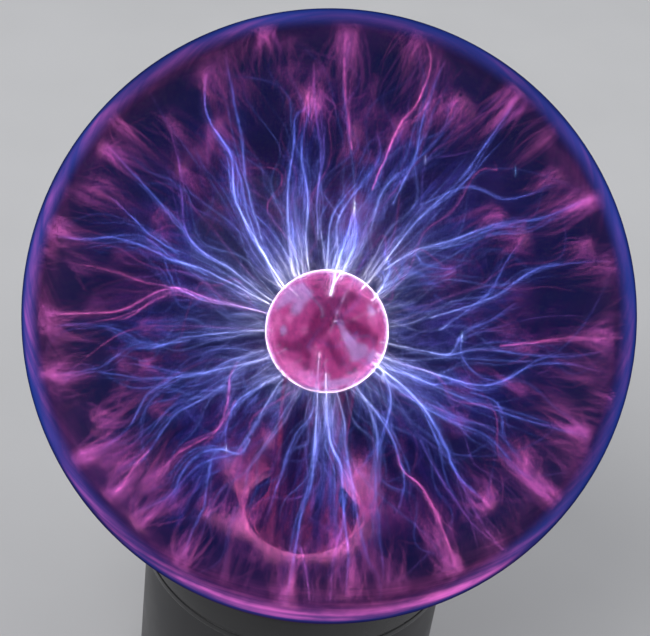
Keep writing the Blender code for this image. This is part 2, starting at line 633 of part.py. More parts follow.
def make_inner_leads():
    for name, x, colour in (("power_lead_red", 2.6, (0.6, 0.02, 0.02)),
                            ("power_lead_black", -2.6, (0.02, 0.02, 0.02))):
        lead = wire(name, [(x, 36.0, JACK_Z), (x, 32.5, JACK_Z - 0.5), (x * 1.2, 29.8, 20.5),
                           (x * 1.4, 29.0, 16.1)], 0.9, 2.0)
        finish(lead, colour, roughness=0.5)
    lead = wire("switch_lead", [(0, -40.2, CONTROL_Z), (0, -36.5, CONTROL_Z - 1.0), (0, -33.0, 27.0),
                                (0, -31.0, 20.0), (0, -30.8, 16.1)], 1.1, 2.4)
    finish(lead, (0.6, 0.6, 0.6), roughness=0.5)
    d = Vector(polar(1.0, DIAL_ANGLE))
    lead = wire("dial_lead", [d * 40.1 + Vector((0, 0, 30)), d * 36.5 + Vector((0, 0, 28.5)),
                              d * 34.5 + Vector((0, 0, 22)), (21.6, -26.0, 16.1)], 1.1, 2.4)
    finish(lead, (0.5, 0.5, 0.1), roughness=0.5)
    m = Vector(polar(1.0, MIC_ANGLE))
    lead = wire("microphone_lead", [m * 44.2 + Vector((0, 0, CONTROL_Z)),
                                    m * 41.0 + Vector((0, 0, 32.5)), m * 38.4 + Vector((0, 0, 24)),
                                    (-23.6, -28.2, 16.1)], 0.9, 2.4)
    finish(lead, (0.5, 0.5, 0.5), roughness=0.5)


def main():
    clear_scene()
    root = frame_empty("base_frame")
    make_globe()
    make_stem()
    make_electrode()
    make_lead_and_seals()
    make_housing()
    make_collar()
    make_cover()
    make_switch(root)
    make_dial(root)
    make_microphone()
    make_jack()
    make_board()
    make_transformer()
    make_power_stage()
    make_small_parts()
    make_inner_leads()
    for obj in bpy.data.objects:
        if obj.parent is None and obj is not root:
            obj.parent = root


main()
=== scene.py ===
"""Looks for the desk plasma ball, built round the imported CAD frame.

Everything is in metres in the frame's own coordinates: origin on the table
under the globe's axis, +Z up, controls towards -Y.
"""

import json
import math

import bmesh
import bpy
import numpy as np
from mathutils import Matrix, Vector


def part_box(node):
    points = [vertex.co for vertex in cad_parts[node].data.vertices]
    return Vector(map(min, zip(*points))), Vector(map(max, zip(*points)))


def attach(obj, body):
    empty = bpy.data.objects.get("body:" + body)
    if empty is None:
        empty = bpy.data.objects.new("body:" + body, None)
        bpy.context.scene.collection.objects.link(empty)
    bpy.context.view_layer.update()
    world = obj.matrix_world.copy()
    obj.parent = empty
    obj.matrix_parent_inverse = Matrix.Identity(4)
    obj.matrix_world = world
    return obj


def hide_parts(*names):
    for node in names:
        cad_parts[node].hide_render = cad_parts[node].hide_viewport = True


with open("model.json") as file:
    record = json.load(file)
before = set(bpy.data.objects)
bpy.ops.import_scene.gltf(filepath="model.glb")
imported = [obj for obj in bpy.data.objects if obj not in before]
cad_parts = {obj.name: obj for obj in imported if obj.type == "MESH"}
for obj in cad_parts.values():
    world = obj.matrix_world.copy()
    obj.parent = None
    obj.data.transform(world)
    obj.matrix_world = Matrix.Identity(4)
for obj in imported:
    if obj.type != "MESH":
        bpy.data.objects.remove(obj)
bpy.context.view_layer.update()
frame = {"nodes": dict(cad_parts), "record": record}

scene = bpy.context.scene
MM = 0.001

# ------------------------------------------------------------------ the frame
g_low, g_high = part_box("glass_globe")
GLOBE_R = (g_high.x - g_low.x) / 2 if hasattr(g_high, "x") else (g_high[0] - g_low[0]) / 2
GLOBE_TOP = g_high[2]
CENTRE = Vector((0.0, 0.0, GLOBE_TOP - GLOBE_R))
NECK_END = g_low[2]
e_low, e_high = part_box("electrode_bulb")
BULB_R = 0.0205
BULB = Vector((0.0, 0.0, e_high[2] - BULB_R))
INNER_R = GLOBE_R - 0.0022
GLOW_R = INNER_R - 0.0006           # where the discharge meets the glass
GLASS_ALPHA = 0.92
LIGHT = 1.0 / (1.0 - GLASS_ALPHA)   # what the glass holds back of the light inside

# ----------------------------------------------------------------- the camera
DISTANCE = 0.600
ELEVATION = math.radians(41.0)
ROLL = math.radians(8.0)
FOCAL = 1822.0                      # in pixels of the 650 x 636 frame
BACK = Vector((0.0, -math.cos(ELEVATION), math.sin(ELEVATION)))
_side, _up = Vector((1.0, 0.0, 0.0)), Vector((0.0, math.sin(ELEVATION), math.cos(ELEVATION)))
RIGHT = _side * math.cos(ROLL) + _up * math.sin(ROLL)
UP = _up * math.cos(ROLL) - _side * math.sin(ROLL)
GLOBE_AT = (329.0, 316.2)           # where the globe's centre falls in that frame
ELECTRODE_AT = (322.5, 331.5)       # and the electrode's


def in_view(x, y, depth):
    """The point that the main view shows at x, y of its 650 x 636 frame,
    depth metres nearer the camera than the globe's centre."""
    across = (x - GLOBE_AT[0]) / FOCAL * (DISTANCE - depth)
    upward = (GLOBE_AT[1] - y) / FOCAL * (DISTANCE - depth)
    return CENTRE + RIGHT * across + UP * upward + BACK * depth


def on_glass(x, y, side, radius=GLOW_R):
    """The same, on the near (side 1) or far (side -1) half of the glass."""
    low, high = (0.0, radius) if side > 0 else (-radius, 0.0)
    for _ in range(40):
        middle = (low + high) / 2
        inside = (in_view(x, y, middle) - CENTRE).length < radius
        if (side > 0) == inside:
            low = middle
        else:
            high = middle
    p = in_view(x, y, (low + high) / 2)
    return CENTRE + (p - CENTRE).normalized() * radius


def add_camera():
    data = bpy.data.cameras.new("main_camera")
    data.sensor_fit = "HORIZONTAL"
    data.sensor_width = 36.0
    data.lens = 36.0 * FOCAL / 650.0
    camera = bpy.data.objects.new("main_camera", data)
    scene.collection.objects.link(camera)
    offset_x, offset_y = GLOBE_AT[0] - 325.0, 318.0 - GLOBE_AT[1]
    look = CENTRE - RIGHT * (offset_x / FOCAL * DISTANCE) - UP * (offset_y / FOCAL * DISTANCE)
    camera.location = look + BACK * DISTANCE
    turn = Matrix((RIGHT, UP, BACK)).transposed()
    camera.rotation_euler = turn.to_euler()
    data.clip_start, data.clip_end = 0.01, 20.0
    scene.camera = camera


# ------------------------------------------------------------ material helper


class Nodes:
    """A short way to write a node tree. An input is a number, a colour or
    another node's socket."""

    def __init__(self, name):
        self.material = bpy.data.materials.new(name)
        self.material.use_nodes = True
        self.tree = self.material.node_tree
        self.tree.nodes.clear()

    def __call__(self, kind, inputs=None, out=0, **settings):
        node = self.tree.nodes.new("ShaderNode" + kind)
        for key, value in settings.items():
            setattr(node, key, value)
        for key, value in (inputs or {}).items():
            socket = node.inputs[key]
            if isinstance(value, bpy.types.NodeSocket):
                self.tree.links.new(value, socket)
            else:
                if socket.type == "RGBA" and len(value) == 3:
                    value = (*value, 1.0)
                socket.default_value = value
        return node.outputs[out]

    def math(self, operation, a, b=None, c=None, clamp=False):
        given = {0: a}
        if b is not None:
            given[1] = b
        if c is not None:
            given[2] = c
        return self("Math", given, operation=operation, use_clamp=clamp)

    def mix(self, factor, a, b, kind="MIX"):
        return self("Mix", {"Factor": factor, 6: a, 7: b}, out=2, data_type="RGBA", blend_type=kind)

    def ramp(self, factor, stops, kind="LINEAR"):
        node = self.tree.nodes.new("ShaderNodeValToRGB")
        node.color_ramp.interpolation = kind
        marks = node.color_ramp.elements
        while len(marks) < len(stops):
            marks.new(0.5)
        for mark, (at, colour) in zip(marks, stops):
            mark.position = at
            mark.color = (*colour, 1.0) if len(colour) == 3 else colour
        self.tree.links.new(factor, node.inputs[0])
        return node.outputs[0]

    def spread(self, factor, low, high, to_low=0.0, to_high=1.0, smooth=True):
        return self("MapRange", {"Value": factor, "From Min": low, "From Max": high, "To Min": to_low,
                                 "To Max": to_high}, interpolation_type="SMOOTHSTEP" if smooth else "LINEAR")

    def place(self):
        return self("TexCoord", out="Object")

    def noise(self, vector, scale, detail=3.0, rough=0.5, out=0, **more):
        return self("TexNoise", {"Vector": vector, "Scale": scale, "Detail": detail, "Roughness": rough,
                                 **more}, out=out)

    def bump(self, height, distance, strength=1.0, normal=None):
        given = {"Height": height, "Distance": distance, "Strength": strength}
        if normal is not None:
            given["Normal"] = normal
        return self("Bump", given)

    def surface(self, shader):
        out = self.tree.nodes.new("ShaderNodeOutputMaterial")
        self.tree.links.new(shader, out.inputs["Surface"])
        return self.material


def no_sampling(material):
    """The glow is seen, but isn't picked as a lamp."""
    material.cycles.emission_sampling = "NONE"
    return material


def additive(nodes, colour, strength):
    glow = nodes("Emission", {"Color": colour, "Strength": strength})
    clear = nodes("BsdfTransparent", {"Color": (1, 1, 1)})
    return no_sampling(nodes.surface(nodes("AddShader", {0: clear, 1: glow})))


# --------------------------------------------------------------- mesh helpers


def link(name, mesh, body, materials=(), smooth=True):
    obj = bpy.data.objects.new(name, mesh)
    scene.collection.objects.link(obj)
    for material in materials:
        mesh.materials.append(material)
    if smooth:
        mesh.shade_smooth()
        mesh.set_sharp_from_angle(angle=math.radians(30))
    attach(obj, body)
    return obj


def lathe(name, profile, sides, body, materials, closed=True, slots=None):
    """Spins a list of (radius, height) in metres. A profile that isn't closed
    starts and ends on the axis. slots gives each profile edge's material."""
    verts, rows = [], []
    for r, z in profile:
        if r < 1e-7:
            rows.append([len(verts)])
            verts.append((0.0, 0.0, z))
        else:
            rows.append(list(range(len(verts), len(verts) + sides)))
            verts += [(r * math.cos(2 * math.pi * k / sides), r * math.sin(2 * math.pi * k / sides), z)
                      for k in range(sides)]
    faces, marks = [], []
    pairs = list(zip(rows, rows[1:])) + ([(rows[-1], rows[0])] if closed else [])
    for n, (a, b) in enumerate(pairs):
        for k in range(sides):
            j = (k + 1) % sides
            if len(a) == 1 and len(b) == 1:
                continue
            if len(a) == 1:
                faces.append((a[0], b[j], b[k]))
            elif len(b) == 1:
                faces.append((a[k], a[j], b[0]))
            else:
                faces.append((a[k], a[j], b[j], b[k]))
            marks.append(slots[n] if slots else 0)
    mesh = bpy.data.meshes.new(name)
    mesh.from_pydata(verts, [], faces)
    mesh.update()
    obj = link(name, mesh, body, materials)
    for polygon, mark in zip(mesh.polygons, marks):
        polygon.material_index = mark
    bm = bmesh.new()
    bm.from_mesh(mesh)
    bmesh.ops.recalc_face_normals(bm, faces=bm.faces)
    bm.to_mesh(mesh)
    bm.free()
    return obj


def arc(radius, centre_z, first, last, count):
    """Points on a meridian, angles from the top in degrees."""
    found = []
    for k in range(count + 1):
        a = math.radians(first + (last - first) * k / count)
        r = radius * math.sin(a)
        found.append((0.0 if abs(r) < 1e-9 else r, centre_z + radius * math.cos(a)))
    return found


def mix3(a, b, t):
    return tuple(p + (q - p) * t for p, q in zip(a, b))


def tone(stops, t):
    """Colour at t along a list of (place, colour)."""
    for (a, ca), (b, cb) in zip(stops, stops[1:]):
        if t <= b:
            return mix3(ca, cb, (t - a) / (b - a) if b > a else 0.0)
    return stops[-1][1]


def curve_through(points, count):
    """count points on one smooth curve through the given ones."""
    pts = [Vector(p) for p in points]
    if len(pts) == 2:
        return [pts[0].lerp(pts[1], k / (count - 1)) for k in range(count)]
    pts = [2 * pts[0] - pts[1]] + pts + [2 * pts[-1] - pts[-2]]
    fine = []
    for a, b, c, d in zip(pts, pts[1:], pts[2:], pts[3:]):
        for k in range(24):
            t = k / 24
            fine.append(0.5 * ((2 * b) + (c - a) * t + (2 * a - 5 * b + 4 * c - d) * t * t
                               + (3 * b - a - 3 * c + d) * t ** 3))
    fine.append(pts[-2])
    runs = [0.0]
    for p, q in zip(fine, fine[1:]):
        runs.append(runs[-1] + (q - p).length)
    found, n = [], 0
    for k in range(count):
        want = runs[-1] * k / (count - 1)
        while n < len(runs) - 2 and runs[n + 1] < want:
            n += 1
        span = runs[n + 1] - runs[n]
        found.append(fine[n].lerp(fine[n + 1], (want - runs[n]) / span if span > 0 else 0.0))
    return found


# ------------------------------------------------------------------ the glass


def glass_material():
    """Clear glass, darkened to deep navy wherever nothing glows behind it, with painted glow in its emission:
    a faint navy glow all over, and towards its edge, rising with the viewing angle, a painted rim in the
    colour of the light inside: blue, and magenta low down, where the discharge crowds against the wall."""
    n = Nodes("globe_glass")
    place = n.place()
    height = n.tree.nodes.new("ShaderNodeSeparateXYZ")
    n.tree.links.new(place, height.inputs[0])
    # painted glow: the blue rim and magenta band below are emission on the glass, rising with the viewing angle towards
    # its edge
    edge = n("LayerWeight", {"Blend": 0.5}, out="Facing")
    blue = n.math("MULTIPLY", n.math("MULTIPLY", n.spread(edge, 0.64, 0.81), n.spread(edge, 0.85, 0.98, 1.0, 0.12)), n.spread(n.noise(place, 15.0, 3.0, 0.6), 0.34, 0.66, 0.62, 1.14))
    band = n.math("ADD", n.math("MULTIPLY", n.math("MULTIPLY", n.spread(edge, 0.70, 0.80), n.spread(edge, 0.82, 0.90, 1.0, 0.05)), 0.80),
                  n.math("MULTIPLY", n.math("MULTIPLY", n.spread(edge, 0.46, 0.68), n.spread(edge, 0.72, 0.86, 1.0, 0.0)), 0.36))
    cloud = n.noise(place, 11.0, 3.0, 0.55)
    uneven = n.spread(n.noise(place, 34.0, 4.0, 0.65), 0.32, 0.68, 0.30, 1.45)
    low = n.spread(n.math("ADD", height.outputs[2], n.math("MULTIPLY", n.math("SUBTRACT", cloud, 0.5), 0.05)),
                   CENTRE.z - 0.012, CENTRE.z - 0.040)
    drawn = n("VectorMath", {0: place, 1: (9.0, 9.0, 170.0)}, operation="MULTIPLY")
    arcs = n.spread(n.noise(drawn, 1.0, 3.0, 0.6), 0.34, 0.68, 0.34, 1.50)
    pink = n.math("MULTIPLY", n.math("MULTIPLY", n.math("MULTIPLY", band, arcs), uneven), n.math("ADD", n.math("MULTIPLY", low, 0.92), n.math("ADD", 0.12, n.math("MULTIPLY", n.spread(n.noise(place, 19.0, 2.0), 0.46, 0.62), 0.42))))
    # painted glow: a faint navy emission over the whole glass
    floor = n.mix(n.spread(cloud, 0.35, 0.65), (0.0010, 0.0011, 0.022), (0.0022, 0.0022, 0.040))
    light = n.mix(1.0, floor, n("VectorMath", {0: (0.014, 0.042, 0.255), "Scale": n.math("MULTIPLY", blue, n.spread(low, 0.0, 1.0, 0.90, 0.48))}, operation="SCALE"), kind="ADD")
    light = n.mix(1.0, light, n("VectorMath", {0: (0.36, 0.060, 0.22), "Scale": pink}, operation="SCALE"), kind="ADD")
    shader = n("BsdfPrincipled", {
        "Base Color": (0.002, 0.002, 0.008),
        "Roughness": n.spread(n.noise(place, 45.0, 2.0), 0.3, 0.7, 0.02, 0.06),
        "IOR": 1.30, "Specular IOR Level": n.spread(edge, 0.30, 0.70, 0.06, 0.0),
        "Alpha": n.spread(edge, 0.62, 0.90, GLASS_ALPHA, 0.985),
        "Emission Color": light, "Emission Strength": 1.0})
    return no_sampling(n.surface(shader))


def clear_wall_material():
    n = Nodes("globe_inner_wall")
    shader = n("BsdfPrincipled", {
        "Base Color": n.mix(n.noise(n.place(), 30.0), (0.006, 0.006, 0.02), (0.01, 0.01, 0.03)),
        "Roughness": 0.08, "IOR": 1.2, "Specular IOR Level": 0.2, "Alpha": 0.03})
    return n.surface(shader)


def make_globe():
    neck, bore = 0.0222, 0.0200
    outer_end = 180 - math.degrees(math.asin(neck / GLOBE_R)) - 1.6
    inner_end = 180 - math.degrees(math.asin(bore / INNER_R)) - 1.2
    outer = arc(GLOBE_R, CENTRE.z, 0, outer_end, 110)
    inner = arc(INNER_R, CENTRE.z, inner_end, 0, 100)
    low = NECK_END
    fillet = [(neck + 0.0012, outer[-1][1] - 0.0009), (neck + 0.0003, outer[-1][1] - 0.0022)]
    rim = [(neck, low + 0.0009), (neck - 0.0003, low + 0.0003), (neck - 0.0009, low),
           (bore + 0.0007, low), (bore + 0.0002, low + 0.0003), (bore, low + 0.0009)]
    lip = [(bore, inner[0][1] - 0.0020), (bore + 0.0006, inner[0][1] - 0.0008)]
    profile = outer + fillet + rim + lip + inner
    slots = [0] * (len(outer) + len(fillet) + 2) + [1] * (len(profile))
    globe = lathe("globe_shell", profile, 144, "base", [glass_material(), clear_wall_material()],
                  closed=False, slots=slots)
    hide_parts("glass_globe")
    globe.visible_shadow = True
    return globe


# -------------------------------------------------------------- the discharge

BLUE = [(0.0, (0.60, 0.60, 0.88)), (0.05, (0.38, 0.41, 0.76)), (0.14, (0.22, 0.26, 0.62)), (0.28, (0.130, 0.170, 0.52)),
        (0.50, (0.082, 0.112, 0.45)), (0.78, (0.060, 0.078, 0.39)), (0.92, (0.11, 0.060, 0.31)), (1.0, (0.28, 0.070, 0.28))]
PINK = [(0.0, (0.52, 0.45, 0.78)), (0.12, (0.34, 0.22, 0.58)), (0.35, (0.30, 0.09, 0.36)), (0.65, (0.40, 0.075, 0.28)),
        (1.0, (0.50, 0.10, 0.36))]
VIOLET = [(0.0, (0.40, 0.40, 0.78)), (0.16, (0.15, 0.17, 0.56)), (0.45, (0.10, 0.085, 0.42)), (0.75, (0.17, 0.060, 0.34)),
          (1.0, (0.33, 0.075, 0.31))]

# Each streamer: half of the globe it runs in, brightness, colours, and its
# course in the main view's frame, from the electrode or a fork outwards.
STREAMERS = [
    (1, 3.2, BLUE, ((283, 285), (249, 228), (234, 191), (229, 152), (207, 116), (205, 72))),
    (-1, 1.3, BLUE, ((262, 240), (248, 190), (240, 128), (225, 54))),
    (1, 1.2, BLUE, ((255, 235), (246, 207), (238, 172), (229, 153), (214, 128))),
    (-1, 1.8, BLUE, ((292, 270), (289, 228), (288, 187), (294, 145), (296, 116), (309, 106), (315, 90))),
    (-1, 1.8, BLUE, ((309, 272), (306, 238), (308, 197), (302, 155), (306, 124), (315, 96))),
    (1, 1.2, VIOLET, ((318, 240), (317, 203), (321, 150), (315, 112), (313, 62))),
    (1, 1.3, BLUE, ((265, 296), (228, 267), (199, 249), (180, 224), (135, 176), (104, 143))),
    (-1, 0.8, VIOLET, ((215, 262), (187, 234), (182, 197), (180, 172), (176, 149), (166, 116))),
    (1, 1.5, BLUE, ((262, 300), (207, 271), (170, 259), (145, 247), (116, 238), (89, 239), (46, 237))),
    (-1, 1.0, BLUE, ((207, 275), (170, 256), (145, 237), (116, 236), (83, 240), (52, 232))),
    (-1, 0.9, BLUE, ((180, 255), (145, 230), (124, 209), (102, 191))),
    (1, 1.6, PINK, ((260, 311), (207, 298), (178, 288), (158, 292), (124, 309), (97, 313), (44, 315))),
    (-1, 0.9, BLUE, ((205, 300), (178, 288), (168, 269), (164, 257), (150, 240))),
    (-1, 0.7, PINK, ((200, 300), (178, 288), (145, 282), (112, 271), (70, 262))),
    (-1, 1.0, BLUE, ((290, 262), (274, 234), (249, 207), (230, 175))),
    (1, 5.0, BLUE, ((331, 296), (337, 265), (346, 238), (353, 209))),
    (1, 2.6, BLUE, ((334, 284), (347, 262), (356, 238), (355, 222), (353, 209))),
    (1, 1.8, BLUE, ((279, 284), (266, 262), (250, 236), (243, 221))),
    (1, 2.0, BLUE, ((299, 272), (294, 250), (292, 228), (289, 205))),
    (1, 1.6, BLUE, ((341, 280), (353, 247), (356, 228), (353, 209))),
    (-1, 1.6, BLUE, ((327, 268), (333, 216), (358, 180), (372, 150))),
    (1, 1.4, BLUE, ((340, 276), (337, 234), (342, 211), (371, 172), (380, 153), (376, 130))),
    (-1, 0.9, PINK, ((352, 150), (345, 83), (344, 52), (347, 28))),
    (1, 1.7, PINK, ((372, 190), (398, 128), (414, 108), (424, 87), (431, 62), (426, 40))),
    (-1, 1.2, BLUE, ((392, 205), (414, 160), (422, 124), (430, 96), (445, 60))),
    (1, 0.9, BLUE, ((372, 225), (385, 187), (412, 164), (441, 135), (458, 105))),
    (1, 2.0, BLUE, ((377, 272), (414, 224), (449, 191), (468, 170), (478, 155), (497, 128), (521, 92))),
    (1, 1.7, BLUE, ((384, 270), (414, 251), (453, 240), (497, 224), (538, 219), (565, 209), (594, 196))),
    (1, 2.8, BLUE, ((377, 296), (389, 270), (384, 255), (386, 243))),
    (-1, 1.1, BLUE, ((386, 268), (414, 253), (422, 263), (449, 269), (468, 262))),
    (-1, 0.9, BLUE, ((390, 284), (416, 272), (437, 286), (448, 284))),
    (-1, 1.0, BLUE, ((440, 330), (487, 294), (507, 261), (524, 238))),
    (1, 1.1, BLUE, ((430, 318), (491, 298), (524, 276), (545, 267), (586, 262), (612, 262))),
    (-1, 0.8, BLUE, ((420, 205), (468, 187), (505, 199), (540, 190), (562, 175))),
    (1, 2.3, BLUE, ((378, 366), (418, 401), (441, 438), (458, 476), (489, 506))),
    (-1, 1.8, BLUE, ((380, 366), (414, 376), (433, 384), (470, 380))),
    (-1, 1.2, BLUE, ((384, 372), (391, 397), (387, 420), (377, 446), (352, 480))),
    (1, 1.4, BLUE, ((360, 392), (387, 428), (398, 455), (403, 473), (402, 496), (392, 520))),
    (1, 1.5, PINK, ((398, 455), (403, 471), (420, 486), (437, 517), (459, 573))),
    (-1, 1.4, BLUE, ((385, 380), (418, 403), (449, 420), (483, 434), (501, 449), (520, 471), (540, 484))),
    (1, 1.3, BLUE, ((386, 358), (460, 382), (483, 386), (505, 380), (532, 366), (567, 364), (600, 372))),
    (-1, 1.3, BLUE, ((390, 366), (470, 401), (499, 411), (532, 422), (592, 438))),
    (-1, 0.9, BLUE, ((470, 392), (495, 401), (502, 415), (506, 440), (528, 468))),
    (1, 1.0, BLUE, ((386, 343), (424, 351), (449, 355), (483, 349), (520, 354), (566, 357), (612, 350))),
    (1, 1.1, BLUE, ((430, 352), (450, 354), (464, 333), (491, 320), (520, 300))),
    (-1, 0.9, BLUE, ((462, 335), (462, 355), (476, 374), (499, 382), (520, 392))),
    (1, 0.9, PINK, ((500, 346), (543, 341), (574, 338), (628, 338))),
    (1, 2.0, BLUE, ((326, 372), (327, 411), (330, 442), (341, 467), (343, 505), (348, 556), (345, 596))),
    (1, 1.2, BLUE, ((337, 392), (344, 422), (348, 463), (354, 494), (359, 528), (372, 575))),
    (-1, 1.5, BLUE, ((330, 392), (331, 442), (347, 480), (344, 509), (340, 548))),
    (1, 1.2, BLUE, ((320, 352), (315, 395), (311, 415), (296, 434), (286, 459), (274, 494), (264, 522))),
    (1, 1.8, BLUE, ((318, 385), (315, 442), (311, 484), (301, 515), (294, 556), (285, 606))),
    (-1, 0.5, VIOLET, ((305, 440), (305, 494), (267, 498), (249, 513), (246, 524))),
    (1, 1.5, BLUE, ((284, 374), (249, 393), (231, 411), (225, 434), (226, 456))),
    (1, 1.4, BLUE, ((250, 440), (240, 454), (220, 450), (197, 455), (180, 476), (170, 496), (131, 514))),
    (1, 1.2, BLUE, ((225, 446), (211, 459), (205, 500), (196, 524), (180, 560))),
    (-1, 1.1, BLUE, ((276, 388), (249, 434), (234, 453), (205, 462), (186, 478), (168, 506))),
    (-1, 1.1, BLUE, ((258, 352), (228, 361), (199, 374), (158, 368), (120, 362))),
    (1, 1.3, BLUE, ((260, 360), (207, 372), (176, 378), (149, 393), (139, 409), (126, 430), (93, 456))),
    (1, 1.2, BLUE, ((225, 385), (199, 401), (176, 413), (162, 432), (149, 451), (139, 461), (114, 473))),
    (1, 1.1, PINK, ((149, 451), (139, 461), (128, 476), (112, 498))),
    (-1, 0.8, PINK, ((236, 400), (220, 426), (207, 437), (176, 455), (152, 484))),
    (1, 0.9, BLUE, ((256, 330), (187, 337), (151, 347), (128, 335), (91, 324), (46, 328))),
    (-1, 0.9, BLUE, ((190, 340), (158, 345), (137, 343), (112, 359), (89, 370), (44, 376))),
    (-1, 0.7, BLUE, ((195, 376), (143, 378), (93, 372), (60, 380))),
    (-1, 0.8, PINK, ((238, 362), (230, 376), (228, 401), (220, 426), (204, 446))),
    (1, 0.9, BLUE, ((352, 390), (368, 405), (378, 440), (375, 480), (380, 540), (384, 585))),
    (-1, 0.8, VIOLET, ((345, 520), (336, 548), (332, 575), (330, 604))),
    (-1, 0.8, VIOLET, ((300, 545), (306, 570), (310, 604))),
    (-1, 0.7, VIOLET, ((420, 440), (436, 470), (470, 520), (500, 548))),
    (1, 0.8, VIOLET, ((455, 470), (480, 520), (498, 545), (512, 556))),
]

# Each veil: half, brightness, colours, and its two edges.
VEILS = [
    (1, 0.55, BLUE, ((268, 288), (228, 258), (186, 234), (150, 226)), ((262, 303), (207, 286), (165, 268), (118, 246))),
    (1, 0.80, BLUE, ((281, 283), (247, 228), (228, 184), (224, 158)), ((291, 272), (264, 226), (244, 190), (238, 160))),
    (-1, 0.75, BLUE, ((291, 270), (288, 228), (287, 187), (297, 118)), ((312, 270), (307, 238), (309, 190), (305, 120))),
    (1, 0.60, BLUE, ((374, 274), (412, 226), (452, 186), (474, 158)), ((360, 272), (396, 226), (430, 184), (462, 150))),
    (-1, 0.55, BLUE, ((352, 270), (376, 222), (412, 172), (440, 140)), ((344, 268), (350, 215), (376, 160), (400, 128))),
    (1, 0.45, BLUE, ((382, 268), (440, 250), (490, 236)), ((388, 292), (440, 286), (486, 282))),
    (-1, 0.55, VIOLET, ((387, 300), (430, 296), (476, 300)), ((388, 345), (430, 350), (470, 348))),
    (1, 0.70, BLUE, ((386, 354), (440, 362), (500, 384)), ((378, 376), (424, 408), (486, 448))),
    (1, 0.75, BLUE, ((316, 390), (312, 450), (306, 520), (298, 560)), ((340, 390), (346, 450), (346, 520), (346, 566))),
    (1, 0.60, BLUE, ((260, 346), (222, 364), (186, 384), (146, 402)), ((284, 380), (246, 400), (228, 440), (200, 470))),
    (-1, 0.60, BLUE, ((244, 452), (204, 456), (178, 480), (150, 506)), ((232, 466), (208, 480), (190, 506), (176, 540))),
    (-1, 0.45, BLUE, ((256, 312), (205, 306), (150, 318), (96, 326)), ((257, 338), (205, 344), (152, 352), (108, 350))),
    (1, 0.55, BLUE, ((283, 378), (246, 402), (228, 440)), ((304, 390), (276, 430), (246, 456))),
    (-1, 0.40, VIOLET, ((300, 270), (276, 232), (250, 196)), ((266, 284), (232, 236), (210, 196))),
    (-1, 0.45, BLUE, ((332, 268), (336, 222), (344, 190)), ((350, 270), (366, 236), (384, 206))),
]

# Knots of light: x, y, half, depth, size and colour.
KNOTS = [(354, 208, 1, 0.035, 0.0030, (1.1, 1.2, 1.5)), (515, 171, 1, 0.060, 0.0022, (0.10, 0.20, 0.50)),
         (387, 258, 1, 0.012, 0.0020, (0.5, 0.6, 0.9)), (383, 373, 1, 0.010, 0.0034, (0.9, 0.9, 1.3)),
         (462, 337, 1, 0.030, 0.0022, (0.35, 0.5, 0.95)), (425, 160, 1, 0.045, 0.0018, (0.3, 0.35, 0.7)),
         (403, 472, 1, 0.030, 0.0018, (0.3, 0.35, 0.7)), (226, 449, 1, 0.030, 0.0020, (0.4, 0.5, 0.9))]

